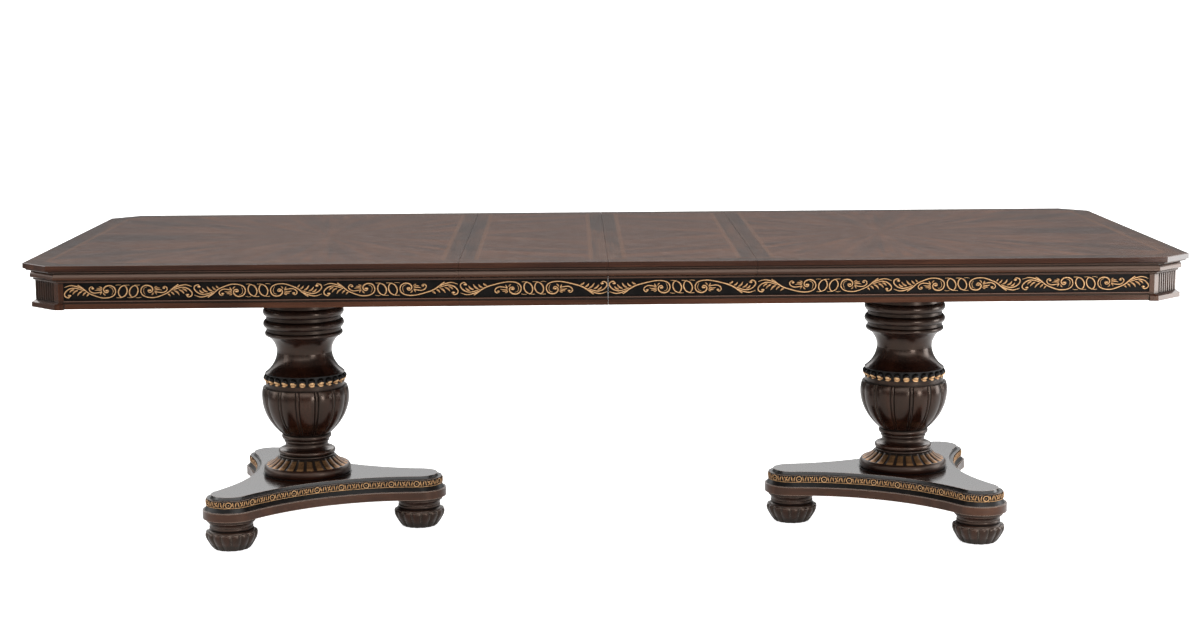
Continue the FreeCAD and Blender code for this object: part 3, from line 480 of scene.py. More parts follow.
def mahogany(name, run, tones, crevice, gloss, edge=None, rub=0.0):
    """Lacquered dark mahogany with its grain along a run, with painted highlights on its edges and where it
    faces up.
    """
    graph = Graph(name)
    place = graph.place()
    colour, pores = grain(graph, run(graph, place), tones)
    # Painted highlight on faces that tilt upward
    if rub:
        upward = graph.facing()["Z"]
        highlight_mask = graph.times(graph.band(upward, *UPWARD_HIGHLIGHT_START), graph.band(upward, *UPWARD_HIGHLIGHT_END))
        colour = graph.mix(graph.times(highlight_mask, rub), colour, HIGHLIGHT_PAINT)
    return lacquer(graph, place, colour, pores, crevice, gloss, edge=edge)


def gadrooned(side, foot):
    """Turned mahogany of a foot, with glaze and painted shade in the valleys between its lobes."""
    graph = Graph(side + "_" + foot)
    place = graph.place()
    colour, pores = grain(graph, upright(graph, place), TURNED_WOOD)
    bun_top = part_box(side + "_" + foot)[0][2] + BUN_HEIGHT
    on_bun = graph.band(graph.split(place)["Z"], bun_top + BUN_BLUR, bun_top - BUN_BLUR)
    # Glaze and painted shade in the valleys between the bun's lobes
    valley = graph.times(on_bun, graph.band(graph.turn_share(side, BUN_LOBES, foot), *VALLEY_LIMITS))
    colour = graph.mix(graph.times(valley, VALLEY_GLAZE_AND_SHADE), colour, GLAZE_AND_SHADE)
    return lacquer(graph, place, colour, pores, crevice=22 * MM, gloss=0.22, edge=FINE_EDGE)


def veneer_layout(graph, place):
    """Place turned along the veneer's grain, and the masks of its bands and ribbons."""
    x, y = graph.split(place)[:2]
    away_x, away_y = graph.size(x), graph.size(y)
    to_side = graph.minus(HALF_WIDTH, away_y)
    to_end = graph.minus(HALF_LENGTH, away_x)
    to_cant = graph.times(graph.minus(graph.minus(CANT_LINE, away_x), away_y), math.sqrt(0.5))
    to_edge = graph.math("MINIMUM", graph.math("MINIMUM", to_side, to_end), to_cant)
    to_seam = graph.math("MINIMUM", graph.size(graph.minus(away_x, LEAF_LENGTH)), away_x)
    in_border = graph.math("LESS_THAN", to_edge, BORDER_WIDTH)
    in_seam_band = graph.math("LESS_THAN", to_seam, SEAM_BAND_WIDTH)
    banded = graph.math("MAXIMUM", in_border, in_seam_band)
    crosswise = graph.pick(in_border, in_seam_band, graph.math("LESS_THAN", to_end, to_side))

    from_point = graph.size(graph.minus(away_x, RAY_POINT))
    radius = graph.length(graph.join(from_point, away_y, 0.0))
    ray = graph.times(graph.math("ARCTAN2", away_y, from_point), RAY_RADIUS)
    slanted = graph.scaled(away_y, math.cos(LEAF_SLANT), graph.times(away_x, math.sin(LEAF_SLANT)))
    on_leaf = graph.math("LESS_THAN", away_x, LEAF_LENGTH)
    layer = graph.pick(in_border, graph.pick(in_seam_band, FIELD_LAYER, SEAM_BAND_LAYER), BORDER_LAYER)
    along = graph.pick(banded, graph.pick(on_leaf, radius, away_x), graph.pick(crosswise, x, y))
    across = graph.pick(banded, graph.pick(on_leaf, ray, slanted), graph.pick(crosswise, y, x))
    turned = graph.join(along, across, layer)

    border_line = graph.math("COMPARE", to_edge, BORDER_WIDTH, RIBBON_WIDTH / 2)
    seam_line = graph.math("COMPARE", to_seam, SEAM_BAND_WIDTH, RIBBON_WIDTH / 2)
    seam_line = graph.times(seam_line, graph.minus(1.0, in_border))
    return turned, banded, graph.math("MAXIMUM", border_line, seam_line)


def veneer(name):
    """Veneered panel: figured field, banded border and seams with ribbons, on a solid edge."""
    graph = Graph(name)
    place = graph.place()
    turned, banded, ribbon = veneer_layout(graph, place)
    shade = graph.band(graph.streaks(turned, *FIGURE_STREAKS), *FIGURE_LIMITS)
    colour = wood_tones(graph, turned, VENEER_WOOD)
    colour = graph.mix(graph.times(shade, FIGURE_SHARE), colour, VENEER_SHADE)
    colour = graph.mix(graph.times(banded, VENEER_BAND_SHARE), colour, VENEER_BAND_TINT, "MULTIPLY")
    colour = graph.mix(graph.times(ribbon, RIBBON_SHARE), colour, RIBBON)
    edge_colour = grain(graph, along_run(graph, place), EDGE_WOOD)[0]
    colour = graph.mix(graph.band(graph.facing()["Z"], *TOP_FACING), edge_colour, colour)
    waves = graph.noise(place, *WAVE_NOISE)
    return lacquer(graph, place, colour, waves, crevice=4 * MM, gloss=0.07, sheen=WHITE)


def ebonised_colour(graph, place):
    """Black with a trace of brown where it is worn, as (colour, cloud)."""
    cloud = graph.noise(place, *CLOUD_NOISE)
    return graph.ramp(cloud, *zip(WORN_STOPS, (BLACK, BLACK_WORN))), cloud


def ebonised(name, polish, sheen, edge=None):
    """Black ground with faint brush marks and, where an edge is given, painted highlights on its edges,
    polished to a roughness and a strength of sheen.
    """
    graph = Graph(name)
    place = graph.place()
    colour, cloud = ebonised_colour(graph, place)
    # Painted highlight along open sharp edges
    if edge:
        highlight_mask = graph.times(graph.edges(edge), graph.band(graph.openness(edge), *EDGE_OPEN))
        colour = graph.mix(highlight_mask, colour, HIGHLIGHT_PAINT)
    return graph.finish(Base_Color=colour, Roughness=graph.scaled(cloud, EBONISED_WEAR, polish),
                        Normal=graph.bump(graph.noise(place, *BRUSH_NOISE), *EBONISED_BUMP),
                        Specular_IOR_Level=sheen)


def gilt_colour(graph, place, height):
    """Gold rubbed bright on the high places, partly a painted highlight, and dark with glaze and painted
    shade in the low ones, as (colour, rub).
    """
    rub = graph.noise(place, *GILT_RUB_NOISE)
    # Higher places paler: partly rubbed gilding, partly painted highlight and shade
    crest = graph.math("POWER", height, GILT_CREST_POWER)
    tone = graph.scaled(rub, GILT_RUB_SHARE, graph.scaled(crest, GILT_CREST_SHARE, GILT_SHIFT))
    return graph.ramp(tone, *GILT_STOPS), rub


def gilt_finish(graph, place, colour, rub, metal):
    """Finishes a gilt surface with brush marks."""
    return graph.finish(Base_Color=colour, Metallic=graph.times(metal, GILT_METAL),
                        Roughness=graph.scaled(rub, *GILT_POLISH),
                        Normal=graph.bump(graph.noise(place, *GILT_BRUSH_NOISE), *GILT_BUMP),
                        Specular_IOR_Level=GILT_SHEEN)


def carved_gilt(name):
    """Antique gilt on a carving, by the height stored on its points, with a painted highlight on its crests
    and painted shade on its flanks.
    """
    graph = Graph(name)
    place = graph.place()
    height = graph.node("ShaderNodeAttribute", attribute_name="relief").outputs["Fac"]
    colour, rub = gilt_colour(graph, place, height)
    return gilt_finish(graph, place, colour, rub, graph.band(height, *METAL_LIMITS))


def gilt_beads(side):
    """Gilt beads, rubbed bright at the front and black round the gold, which on their tops is painted shadow
    of the overhang, on a black ring.
    """
    graph = Graph(side + "_gilt_beads")
    place = graph.place()
    # Gold round a point a little below each bead's middle; black on the tops as painted shadow
    level = AXES[side][2] - BEAD_GILT_DROP
    across = graph.math("DIVIDE", graph.turn_share(side, BEAD_COUNT), BEAD_GILT_SHARE)
    up = graph.math("DIVIDE", graph.minus(graph.split(place)["Z"], level), BEAD_GILT_REACH)
    height = graph.band(graph.length(graph.join(across, up, 0.0)), *BEAD_EDGE)
    gilt, rub = gilt_colour(graph, place, height)
    black = ebonised_colour(graph, place)[0]
    colour = graph.mix(graph.band(height, *BEAD_GROUND), black, gilt)
    return gilt_finish(graph, place, colour, rub, graph.band(height, *BEAD_METAL_LIMITS))


def gilt_petals(side):
    """Gilt petals with black between them, on a mahogany disc."""
    graph = Graph(side + "_gilt_petals")
    place = graph.place()
    z = graph.split(place)["Z"]
    disc_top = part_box(side + "_leaf_collar")[1][2] - PETAL_HEIGHT
    share = graph.turn_share(side, PETAL_COUNT)
    rise = graph.math("DIVIDE", graph.minus(z, disc_top), PETAL_HEIGHT)
    petal = graph.times(graph.band(share, *PETAL_SIDES), graph.band(rise, *PETAL_TOP))
    rim = graph.band(rise, *PETAL_RIM)
    height = graph.times(petal, graph.scaled(rim, PETAL_RIM_LIFT, PETAL_LEVEL))
    gilt, rub = gilt_colour(graph, place, height)
    wood, pores = grain(graph, along_run(graph, place), TURNED_WOOD)
    on_petals = graph.math("GREATER_THAN", z, disc_top)
    metal = graph.times(on_petals, graph.times(graph.band(height, *METAL_LIMITS), PETAL_METAL))
    return graph.finish(Base_Color=graph.mix(on_petals, wood, gilt), Metallic=metal,
                        Roughness=graph.scaled(rub, *PETAL_POLISH),
                        Normal=graph.bump(pores, *LACQUER_BUMP),
                        Specular_IOR_Level=PETAL_SHEEN, Specular_Tint=WARM_SHEEN)


def plinth_top(name):
    """Mahogany plinth cap with black edges, glaze and painted shade round the column, and painted highlights
    on its edges.
    """
    graph = Graph(name)
    place = graph.place()
    wood = grain(graph, place, TURNED_WOOD)[0]
    black = ebonised_colour(graph, place)[0]
    colour = graph.mix(graph.band(graph.facing()["Z"], *CAP_FACING), black, wood)
    waves = graph.noise(place, *WAVE_NOISE)
    return lacquer(graph, place, colour, waves, crevice=10 * MM, gloss=0.12, sheen=WHITE, edge=FINE_EDGE)


def bare_hardwood(name):
    """Dark stained hardwood under the top."""
    graph = Graph(name)
    streak = graph.streaks(graph.place(), *BARE_STREAKS)
    return graph.finish(Base_Color=graph.two_tone(streak, BARE_WOOD),
                        Roughness=graph.scaled(streak, *BARE_POLISH),
                        Normal=graph.bump(streak, *BARE_BUMP))


def plated_steel(name):
    """Zinc-plated steel with a faint spangle."""
    graph = Graph(name)
    spangle = graph.noise(graph.place(), *SPANGLE_NOISE)
    return graph.finish(Base_Color=graph.two_tone(spangle, STEEL), Metallic=1.0,
                        Roughness=graph.scaled(spangle, *STEEL_POLISH))


def moulded_plastic(name):
    """Dark moulded plastic of the glides."""
    graph = Graph(name)
    speck = graph.noise(graph.place(), *SPECK_NOISE)
    return graph.finish(Base_Color=graph.two_tone(speck, PLASTIC),
                        Roughness=graph.scaled(speck, *PLASTIC_POLISH),
                        Normal=graph.bump(speck, *PLASTIC_BUMP))


# In the mahogany finishes, rub is the share of a painted highlight on upward faces, and edge the reach of a
# painted highlight on edges
MATERIALS = {
    "moulding": mahogany("mahogany_moulding", along_run, FRAME_WOOD, crevice=6 * MM, gloss=0.16, rub=0.12),
    "band": mahogany("mahogany_band", along_run, BAND_WOOD, crevice=6 * MM, gloss=0.16, rub=0.26),
    "upright": mahogany("mahogany_upright", upright, FRAME_WOOD, crevice=14 * MM, gloss=0.16),
    "turned": mahogany("mahogany_turned", upright, TURNED_WOOD, crevice=22 * MM, gloss=0.19, rub=0.03),
    "flat": mahogany("mahogany_flat", along_run, FRAME_WOOD, crevice=8 * MM, gloss=0.26, edge=FINE_EDGE),
    "veneer": veneer("veneered_top"),
    "ebonised": ebonised("ebonised_frieze", polish=0.34, sheen=0.09),
    "polished_black": ebonised("ebonised_plinth", polish=0.22, sheen=0.20, edge=FINE_EDGE),
    "carved_gilt": carved_gilt("antique_gilt"),
    "plinth_top": plinth_top("plinth_top"),
    "hardwood": bare_hardwood("slide_hardwood"),
    "steel": plated_steel("steel"),
    "plastic": moulded_plastic("glide_plastic"),
}
SLOT_MATERIALS = {"mahogany_frame": "flat", "veneered_top": "veneer", "ebonised_frieze": "ebonised",
                  "antique_gilt": "carved_gilt", "slide_hardwood": "hardwood", "steel": "steel",
                  "glide_plastic": "plastic"}
ENDING_MATERIALS = {"cornice": "moulding", "cornices": "moulding", "bands": "band",
                    "corner_block": "upright", "column_neck": "turned", "urn_bowl": "turned",
                    "column_stem": "turned", "plinth_cap": "plinth_top", "plinth_band": "polished_black"}
for side in SIDES:
    MATERIALS[side + "_bead_ring"] = gilt_beads(side)
    MATERIALS[side + "_leaf_collar"] = gilt_petals(side)
    for foot in FEET:
        MATERIALS[side + "_" + foot] = gadrooned(side, foot)


def dress_nodes():
    """Gives each node its own material, or else that of its name's ending, or else that of its slot."""
    for subpart in frame["record"]["subparts"]:
        name = subpart["node"]
        kind = SLOT_MATERIALS[subpart["material_slot"]]
        for ending, ending_kind in ENDING_MATERIALS.items():
            if name.endswith(ending):
                kind = ending_kind
        mesh = NODES[name].data
        mesh.materials.clear()
        mesh.materials.append(MATERIALS.get(name, MATERIALS[kind]))
        mesh.polygons.foreach_set("use_smooth", [True] * len(mesh.polygons))


# Carving: raised strips along drawn paths, in millimetres

# Depth of a strip's sides in the ground, steps across its back, steps between the drawn points of a line
# and of a leaf, and points along a bud
SINK = 0.8
SECTION_STEPS = 6
PATH_STEPS = 5
LEAF_STEPS = 4
BUD_STEPS = 7

# Share of its full height that a drawn line has where it is thin, and proportions of a leaf and a bud
THIN_RISE = 0.45
LEAF_END_RISE = 0.4
LEAF_END_WIDTH = 0.2
LEAF_SKEW = 0.85
LEAF_BLUNTNESS = 0.55
LEAF_BOW = 0.12
LEAF_VEIN = 0.04
VEIN_WIDTH = 0.3
BUD_REACH = 0.96


def through(points, steps):
    """Smooth path through drawn points, with a number of steps between each two."""
    drawn = np.array(points, dtype=float)
    padded = np.vstack([2 * drawn[0] - drawn[1], drawn, 2 * drawn[-1] - drawn[-2]])
    share = np.linspace(0.0, 1.0, steps, endpoint=False)[:, None]
    path = []
    for before, first, second, after in zip(padded, padded[1:], padded[2:], padded[3:]):
        turn = 3 * (first - second) + after - before
        bend = 2 * before - 5 * first + 4 * second - after
        path.append(first + share / 2 * (second - before + share * (bend + share * turn)))
    return np.concatenate(path + [drawn[-1:]])


class Strip:
    """Closed strip with a rounded back along a path: corners (u, v, height), relief shares and faces."""

    def __init__(self, path, widths, heights, vein=0.0):
        count = len(path)
        widths = np.broadcast_to(widths, count)
        heights = np.broadcast_to(heights, count)
        tangent = np.gradient(path, axis=0)
        tangent /= np.linalg.norm(tangent, axis=1)[:, None]
        normal = np.stack([-tangent[:, 1], tangent[:, 0]], axis=1)
        angle = np.linspace(0.0, math.pi, SECTION_STEPS + 1)
        across = np.cos(angle)
        rise = np.sin(angle) * (1.0 - vein * np.exp(-(across / VEIN_WIDTH) ** 2))
        loop_across = np.concatenate([[1.0], across, [-1.0]])
        plan = path[:, None, :] + normal[:, None, :] * (loop_across * widths[:, None] / 2)[:, :, None]
        sunk = np.full((count, 1), -SINK)
        height = np.concatenate([sunk, rise * heights[:, None], sunk], axis=1)
        self.corners = np.concatenate([plan, height[:, :, None]], axis=2).reshape(-1, 3)
        self.relief = np.tile(np.concatenate([[0.0], rise, [0.0]]), count)
        size = len(loop_across)
        self.faces = []
        for i in range(count - 1):
            for k in range(size):
                here, there = i * size + k, i * size + (k + 1) % size
                self.faces.append((here, there, there + size, here + size))
        self.faces.append(tuple(reversed(range(size))))
        self.faces.append(tuple(range((count - 1) * size, count * size)))


def drawn_strip(points, widths, height):
    """Strip through drawn points, its width given at even places along it."""
    path = through(points, PATH_STEPS)
    share = np.linspace(0.0, 1.0, len(path))
    width = np.interp(share, np.linspace(0.0, 1.0, len(widths)), widths)
    return Strip(path, width, height * (THIN_RISE + (1.0 - THIN_RISE) * width / max(widths)))


def leaflet(root, tip, width, height, bow=LEAF_BOW, steps=LEAF_STEPS):
    """Plump leaf with round ends and a faint vein, bowed to one side."""
    root, tip = np.array(root, dtype=float), np.array(tip, dtype=float)
    way = tip - root
    middle = (root + tip) / 2 + bow * np.array((-way[1], way[0]))
    path = through((root, middle, tip), steps)
    share = np.linspace(0.0, 1.0, len(path))
    fullness = np.maximum(np.sin(math.pi * share ** LEAF_SKEW) ** LEAF_BLUNTNESS, LEAF_END_WIDTH)
    rise = LEAF_END_RISE + (1.0 - LEAF_END_RISE) * fullness
    return Strip(path, width * fullness, height * rise, LEAF_VEIN)


def bud(centre, radius, height):
    """Round knob."""
    share = np.linspace(-BUD_REACH, BUD_REACH, BUD_STEPS)
    path = np.array(centre, dtype=float) + radius * np.stack([share, np.zeros(BUD_STEPS)], axis=1)
    fullness = np.sqrt(1.0 - share ** 2)
    return Strip(path, 2 * radius * fullness, height * fullness)


def ring(radius, start, sweep, count):
    """Points round the middle of a drawing, angles in degrees."""
    angle = np.radians(np.linspace(start, start + sweep, count))
    return radius * np.stack([np.cos(angle), np.sin(angle)], axis=1)


# Drawing of half a frieze unit: distance from its middle, and height on its centre line. A line is its
# points, widths and rise, a bud its middle, radius and rise. Leaves are drawn by root and tip, and those of
# one kind share a width and rise
HALF_UNIT = 170.0
FIXED_REACH = 60.0
PLUME_REACH = 120.0
STEM = (((136, 16), (128, 10.5), (119, 3.5), (107, -3.5), (91, -8.8), (74, -13.3), (59, -15.4), (44, -14),
         (33.5, -8.5), (30, 0.5), (33.5, 10), (42.5, 14.2), (52.5, 12.4), (58, 6), (56, -0.8), (50, -2.6),
         (46.8, 1.6), (50.5, 4.6)), (4.8, 6.0, 5.0, 4.6, 4.8, 5.2, 5.8, 5.4, 4.6, 3.4), 4.2)
VOLUTE_BUD = ((51.3, 2.2), 4.2, 4.8)
VOLUTE_INSIDE = (((45, 10.6), (38.2, 7.6), (36.2, 0), (39.5, -8.6)), (1.4, 2.4, 2.4, 1.4), 2.2)
BLADE = (((120, 3.5), (131, 9.5), (142, 13.4), (154, 14.8), (168, 10.4)), (3.6, 4.8, 5.0, 4.4, 2.0), 3.6)
HOOK = (((122, 2), (134, 6.6), (147, 8.8), (159, 5), (167.6, -4), (166.4, -11.4), (159, -14.4),
         (154.6, -11)), (3.4, 4.6, 5.0, 5.0, 4.0), 3.8)
HOOK_BUD = ((156.6, -9.6), 4.6, 4.4)
PLUME = (((145, 5.6), (156, -2.2)), ((136, 3.4), (149.4, -7)), ((125, 1.4), (138, -10.6)),
         ((115.4, -1.6), (125.4, -10)), ((106, -6.6), (114.6, -12.6)))
PLUME_LEAF = (6.8, 3.8)
SPRIG = (((62, -0.6), (72, -2.6), (82.5, -3.2), (90.4, 1), (92.4, 7), (87.6, 11.4), (82, 9)),
         (3.8, 4.4, 4.6, 4.4, 3.4), 3.4)
SPRIG_BUD = ((84.4, 7.4), 3.8, 4.0)
SPRIG_LEAVES = (((62, 1.6), (80, 2.2)), ((61.6, 4), (75.4, 7.6)), ((61.4, 7), (69, 11.4)),
                ((62, -1.4), (67, -8.2)), ((59.6, -2.4), (54, -9.4)))
SPRIG_LEAF = (5.0, 3.2)
RING_OFFSET = 12.9
RING_ARM = ((15.6, 15), (5.5, 14.6), (-4.7, 10.2), (-10.2, 0), (-8.4, -10), (-2, -15))
RING_ARM_SECTION = ((2.0, 3.0, 5.0, 5.6, 5.0, 2.8), 3.8)
RING_LINK = ((-30, 14.2), (-24, 15.6), (-17, 15.2))
RING_LINK_SECTION = ((1.6, 2.2, 1.6), 2.2)

# Drawing of one repeat of the plinth's carving. The ring is its radius, start, sweep and points, and a leaf
# here its width, rise, bow and steps
PLINTH_RING = (7.0, 60, 372, 20)
PLINTH_RING_SECTION = (4.2, 3.2)
PLINTH_BUD = ((0, -0.6), 2.2, 3.0)
PLINTH_CROSS = 33.5
PLINTH_BORDER = (((-PLINTH_CROSS, -8.3), (0, -8.3), (PLINTH_CROSS, -8.3)), (2.6, 2.6), 2.4)
PLINTH_FAN = ((11.6, -1), (18.4, 1), (25.2, -1))
PLINTH_FAN_SLANT = 1.6
PLINTH_FAN_ROOT = -7.0
PLINTH_FAN_TIP = 7.4
PLINTH_FAN_LEAF = (5.6, 3.2, 0.06, 3)
PLINTH_CROSS_ROOT = 0.4
PLINTH_CROSS_TIPS = (-6.6, 7.2)
PLINTH_CROSS_REACH = 4.4
PLINTH_CROSS_LEAF = (5.2, 3.2, 0.1, 3)


def frieze_scroll():
    """Stem with its volute and plume, which may be drawn out to fit a half unit's length."""
    strips = [drawn_strip(*STEM), bud(*VOLUTE_BUD), drawn_strip(*VOLUTE_INSIDE), drawn_strip(*BLADE),
              drawn_strip(*HOOK), bud(*HOOK_BUD)]
    return strips + [leaflet(root, tip, *PLUME_LEAF) for root, tip in PLUME]


def frieze_sprig():
    """Small curled sprig between the plume and the volute."""
    strips = [drawn_strip(*SPRIG), bud(*SPRIG_BUD)]
    return strips + [leaflet(root, tip, *SPRIG_LEAF) for root, tip in SPRIG_LEAVES]


def frieze_rings():
    """Pair of leaning rings in the middle of a unit, each of two crescents, with links to the volutes."""
    strips = []
    for turn in (-1, 1):
        strips.append(drawn_strip(turn * np.array(RING_LINK), *RING_LINK_SECTION))
        for offset in (-RING_OFFSET, RING_OFFSET):
            arm = turn * np.array(RING_ARM) + np.array((offset, 0.0))
            strips.append(drawn_strip(arm, *RING_ARM_SECTION))
    return strips


def plinth_unit():
    """One repeat of the plinth's carving: ring, bud, lower border, slanted leaves, and halves of a cross."""
    strips = [Strip(ring(*PLINTH_RING), *PLINTH_RING_SECTION), bud(*PLINTH_BUD),
              drawn_strip(*PLINTH_BORDER)]
    for sign in (-1, 1):
        for reach, slant in PLINTH_FAN:
            lean = PLINTH_FAN_SLANT * slant
            strips.append(leaflet((sign * (reach - lean), PLINTH_FAN_ROOT),
                                  (sign * (reach + lean), PLINTH_FAN_TIP), *PLINTH_FAN_LEAF))
        for tip in PLINTH_CROSS_TIPS:
            strips.append(leaflet((sign * PLINTH_CROSS, PLINTH_CROSS_ROOT),
                                  (sign * (PLINTH_CROSS - PLINTH_CROSS_REACH), tip), *PLINTH_CROSS_LEAF))
    return strips


FRIEZE_SCROLL = frieze_scroll()
FRIEZE_SPRIG = frieze_sprig()
FRIEZE_RINGS = frieze_rings()
PLINTH_STRIPS = plinth_unit()

# Frieze units on each apron of a half, and the gap in millimetres at a unit's ends
UNITS_PER_APRON = 3
CARVING_MARGIN = 0.6

# Plinth's hollow sides, the carved band's offset from them, how far its step stands out, the drop of the
# carving's middle below the cap, the length of a repeat, and the path's steps round lobes and along sides
PLINTH_SIDE_RADIUS = 510 * MM
PLINTH_BAND_OFFSET = 11 * MM
PLINTH_STEP_OUT = 7 * MM
PLINTH_CARVING_DROP = 9.5 * MM
PLINTH_REPEAT = 67 * MM
LOBE_STEP = 2 * MM
SIDE_STEP = 4 * MM


def carved_piece(name, body, placed):
    """One object from placed strips of (points, relief, faces, mirrored), riding on a body."""
    points, relief, faces = [], [], []
    start = 0
    for strip_points, strip_relief, strip_faces, mirrored in placed:
        points.append(strip_points)
        relief.append(strip_relief)
        for face in strip_faces:
            loop = reversed(face) if mirrored else face
            faces.append([start + k for k in loop])
        start += len(strip_points)
    mesh = bpy.data.meshes.new(name)
    mesh.from_pydata(np.concatenate(points).tolist(), [], faces)
    mesh.attributes.new("relief", "FLOAT", "POINT").data.foreach_set("value", np.concatenate(relief))
    mesh.polygons.foreach_set("use_smooth", [True] * len(faces))
    mesh.materials.append(MATERIALS["carved_gilt"])
    piece = bpy.data.objects.new(name, mesh)
    bpy.context.scene.collection.objects.link(piece)
    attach(piece, body)


def frieze(name, body, start, along, out, halves, first_flip):
    """Carving along an apron's face from the lengths of its half units, turned over unit by unit."""
    handed = np.dot(np.cross(along, UP), out)
    placed = []

    def place(strip, middle, distance, across, up):
        """Places a strip by its distances from a unit's middle, mirrored where across or up is -1."""
        u = middle + across * distance * MM
        v = up * strip.corners[:, 1] * MM
        rise = strip.corners[:, 2] * MM
        points = start + np.outer(u, along) + np.outer(v, UP) + np.outer(rise, out)
        placed.append((points, strip.relief, strip.faces, across * up * handed < 0))

    for unit in range(len(halves) // 2):
        flip = first_flip * (-1) ** unit
        middle = sum(halves[:2 * unit + 1])
        for mirror, half in zip((-1, 1), halves[2 * unit:]):
            reach = half / MM - CARVING_MARGIN
            drawn = (0.0, FIXED_REACH, PLUME_REACH, HALF_UNIT)
            fitted = (0.0, FIXED_REACH, PLUME_REACH + reach - HALF_UNIT, reach)
            for strip in FRIEZE_SCROLL:
                place(strip, middle, np.interp(strip.corners[:, 0], drawn, fitted), mirror, flip)
            for strip in FRIEZE_SPRIG:
                place(strip, middle, strip.corners[:, 0], mirror, flip)
        lean = 1 if unit == 0 and first_flip > 0 else -1
        for strip in FRIEZE_RINGS:
            place(strip, middle, strip.corners[:, 0], lean, 1)
    carved_piece(name, body, placed)


def add_friezes():
    """Carvings on the front, back and end aprons of the halves and on the leaves."""
    band_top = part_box("right_apron_bands")[1][2]
    cornice_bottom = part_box("right_cornice")[0][2]
    level = (band_top + cornice_bottom) / 2
    seam_half = (HALF_UNIT + CARVING_MARGIN) * MM
    for side, outward in (("left", -1), ("right", 1)):
        body = side + "_half"
        for face, out in (("front", -ALONG_Y), ("back", ALONG_Y)):
            low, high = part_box(side + "_" + face + "_apron")
            other = (high[0] - low[0] - seam_half) / (2 * UNITS_PER_APRON - 1)
            halves = [seam_half] + [other] * (2 * UNITS_PER_APRON - 1)
            start = np.array((low[0], low[1] if face == "front" else high[1], level))
            frieze(side + "_" + face + "_carving", body, start, ALONG_X, out, halves[::outward], 1)
        low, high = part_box(side + "_end_apron")
        start = np.array((low[0] if outward < 0 else high[0], low[1], level))
        halves = [(high[1] - low[1]) / (2 * UNITS_PER_APRON)] * (2 * UNITS_PER_APRON)
        frieze(side + "_end_carving", body, start, ALONG_Y, outward * ALONG_X, halves, 1)
    for leaf in LEAVES:
        low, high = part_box(leaf + "_aprons")
        halves = [(high[0] - low[0]) / 2] * 2
        for face, y, out in (("front", low[1], -ALONG_Y), ("back", high[1], ALONG_Y)):
            start = np.array((low[0], y, level))
            frieze(leaf + "_" + face + "_carving", leaf, start, ALONG_X, out, halves, -1)


def arc_points(centre, radius, first, last, step):
    """Points of an arc between two angles, and the directions from its centre."""
    count = max(2, int(abs(last - first) * radius / step))
    angle = np.linspace(first, last, count, endpoint=False)
    way = np.stack([np.cos(angle), np.sin(angle)], axis=1)
    return centre + radius * way, way


def plinth_path(side):
    """Outline of a plinth's carved band, as places, outward directions and lengths along it."""
    axis = AXES[side][:2]
    lobes = sorted((centre_of(side + "_" + foot)[:2] for foot in FEET),
                   key=lambda lobe: heading(lobe - axis))
    band_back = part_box(side + "_plinth_band")[1][1]
    lobe_radius = band_back - max(lobe[1] for lobe in lobes) - PLINTH_STEP_OUT
    side_radius = PLINTH_SIDE_RADIUS - PLINTH_BAND_OFFSET
    next_lobes = lobes[1:] + lobes[:1]
    centres = []
    for here, there in zip(lobes, next_lobes):
        middle = (here + there) / 2
        outward = (middle - axis) / np.linalg.norm(middle - axis)
        away = math.sqrt((lobe_radius + side_radius) ** 2 - np.sum((there - here) ** 2) / 4)
        centres.append(middle + outward * away)
    places, ways = [], []
    for here, there, before, after in zip(lobes, next_lobes, centres[-1:] + centres, centres):
        first, last = heading(before - here), heading(after - here)
        last += math.tau if last < first else 0.0
        points, way = arc_points(here, lobe_radius, first, last, LOBE_STEP)
        places.append(points)
        ways.append(way)
        first, last = heading(here - after), heading(there - after)
        last -= math.tau if last > first else 0.0
        points, way = arc_points(after, side_radius, first, last, SIDE_STEP)
        places.append(points)
        ways.append(-way)
    places = np.concatenate(places + [places[0][:1]])
    ways = np.concatenate(ways + [ways[0][:1]])
    steps = np.linalg.norm(np.diff(places, axis=0), axis=1)
    return places, ways, np.concatenate([[0.0], np.cumsum(steps)])


def add_plinth_carvings():
    """Carved band round each plinth."""
    for side in SIDES:
        places, ways, lengths = plinth_path(side)
        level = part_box(side + "_plinth_cap")[0][2] - PLINTH_CARVING_DROP
        repeats = round(lengths[-1] / PLINTH_REPEAT)
        repeat = lengths[-1] / repeats
        placed = []
        for k in range(repeats):
            for strip in PLINTH_STRIPS:
                u = (k * repeat + strip.corners[:, 0] * MM * repeat / PLINTH_REPEAT) % lengths[-1]
                base = np.stack([np.interp(u, lengths, places[:, axis]) for axis in (0, 1)], axis=1)
                way = np.stack([np.interp(u, lengths, ways[:, axis]) for axis in (0, 1)], axis=1)
                plan = base + way * (strip.corners[:, 2] * MM)[:, None]
                points = np.column_stack([plan, level + strip.corners[:, 1] * MM])
                placed.append((points, strip.relief, strip.faces, False))
        carved_piece(side + "_plinth_carving", side + "_half", placed)


# Camera, floor and light

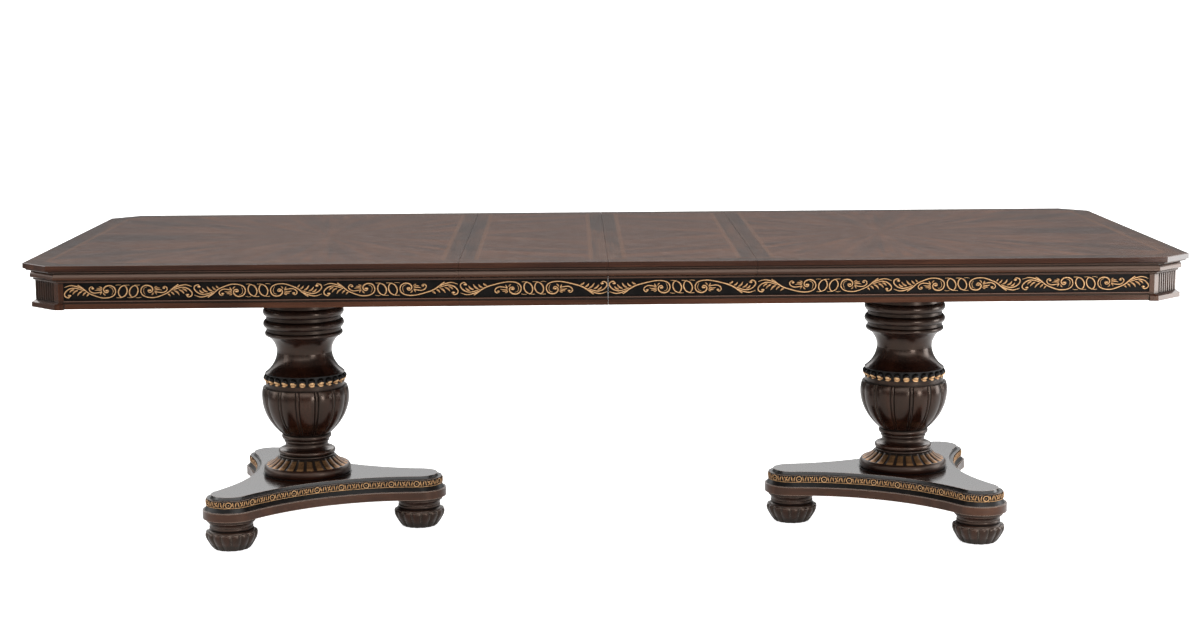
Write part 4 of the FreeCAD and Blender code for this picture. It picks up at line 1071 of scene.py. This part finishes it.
def add_camera():
    """Camera at the photograph's place, turned by its yaw, pitch and roll."""
    forward = Vector((math.sin(CAMERA_YAW) * math.cos(CAMERA_PITCH),
                      math.cos(CAMERA_YAW) * math.cos(CAMERA_PITCH), -math.sin(CAMERA_PITCH)))
    right = Vector((math.cos(CAMERA_YAW), -math.sin(CAMERA_YAW), 0.0))
    down = forward.cross(right)
    rolled_right = math.cos(CAMERA_ROLL) * right + math.sin(CAMERA_ROLL) * down
    rolled_down = math.cos(CAMERA_ROLL) * down - math.sin(CAMERA_ROLL) * right
    data = bpy.data.cameras.new("camera")
    data.sensor_width = SENSOR_MM
    data.lens = FOCAL_PX * SENSOR_MM / IMAGE_WIDTH_PX
    camera = bpy.data.objects.new("camera", data)
    turn = Matrix((rolled_right, -rolled_down, -forward)).transposed()
    camera.matrix_world = Matrix.Translation(CAMERA_PLACE) @ turn.to_4x4()
    bpy.context.scene.collection.objects.link(camera)
    bpy.context.scene.camera = camera


def add_area_light(name, place, target, size, power):
    """Soft rectangular light at a place, facing a target."""
    data = bpy.data.lights.new(name, "AREA")
    data.shape = "RECTANGLE"
    data.size, data.size_y = size
    data.energy = power
    light = bpy.data.objects.new(name, data)
    light.location = place
    light.rotation_euler = (Vector(target) - Vector(place)).to_track_quat("-Z", "Y").to_euler()
    light.visible_camera = False
    bpy.context.scene.collection.objects.link(light)


def stage_plane(name, corners, material, **visibility):
    """Flat stage piece, seen only by the kinds of rays that are not switched off."""
    mesh = bpy.data.meshes.new(name)
    mesh.from_pydata(corners, [], [(0, 1, 2, 3)])
    mesh.materials.append(material)
    plane = bpy.data.objects.new(name, mesh)
    bpy.context.scene.collection.objects.link(plane)
    for key, value in visibility.items():
        setattr(plane, "visible_" + key, value)


def pale_floor(name, glow, pool):
    """Pale floor lifted by a glow, all over or in a pool of light round the table."""
    graph = Graph(name)
    place = graph.place()
    colour = graph.two_tone(graph.noise(place, *FLOOR_NOISE), FLOOR)
    strength = glow
    if pool:
        near = graph.band(graph.length(place), *POOL_EDGE)
        colour = graph.mix(near, FLOOR_FAR, colour)
        strength = graph.times(near, glow)
    return graph.finish(Base_Color=colour, Roughness=FLOOR_ROUGHNESS, Specular_IOR_Level=FLOOR_SHEEN,
                        Emission_Color=WHITE, Emission_Strength=strength)


def add_floor():
    """Wide pale floor, and under it the pool of light that mirrors in the table."""
    reach = FLOOR_REACH
    for name, z, glow, seen in (("floor", 0.0, FLOOR_GLOW, True),
                                ("floor_bounce", -BOUNCE_DROP, BOUNCE_GLOW, False)):
        corners = [(-reach, -reach, z), (reach, -reach, z), (reach, reach, z), (-reach, reach, z)]
        stage_plane(name, corners, pale_floor("pale_" + name, glow, not seen), camera=seen,
                    diffuse=not seen, glossy=not seen, shadow=not seen)


def add_room():
    """Soft room light, graded by height: a dim wall low down, a bright one above it."""
    world = bpy.data.worlds.new("studio")
    bpy.context.scene.world = world
    world.use_nodes = True
    tree = world.node_tree
    place = tree.nodes.new("ShaderNodeTexCoord")
    split = tree.nodes.new("ShaderNodeSeparateXYZ")
    ramp = tree.nodes.new("ShaderNodeValToRGB")
    half = tree.nodes.new("ShaderNodeMath")
    half.operation = "MULTIPLY_ADD"
    half.inputs[1].default_value = 0.5
    half.inputs[2].default_value = 0.5
    background = tree.nodes["Background"]
    background.inputs["Strength"].default_value = 1.0
    tree.links.new(place.outputs["Generated"], split.inputs[0])
    tree.links.new(split.outputs["Z"], half.inputs[0])
    tree.links.new(half.outputs[0], ramp.inputs["Fac"])
    tree.links.new(ramp.outputs[0], background.inputs["Color"])
    fill_ramp(ramp, [(0.5 + 0.5 * math.sin(math.radians(elevation)), rgb(light, light, light))
                     for elevation, light in ROOM_LIGHT])


dress_nodes()
add_friezes()
add_plinth_carvings()
add_camera()
add_floor()
add_room()
for light_name, settings in LIGHTS.items():
    add_area_light(light_name, *settings)
bpy.context.scene.view_settings.view_transform = "Standard"
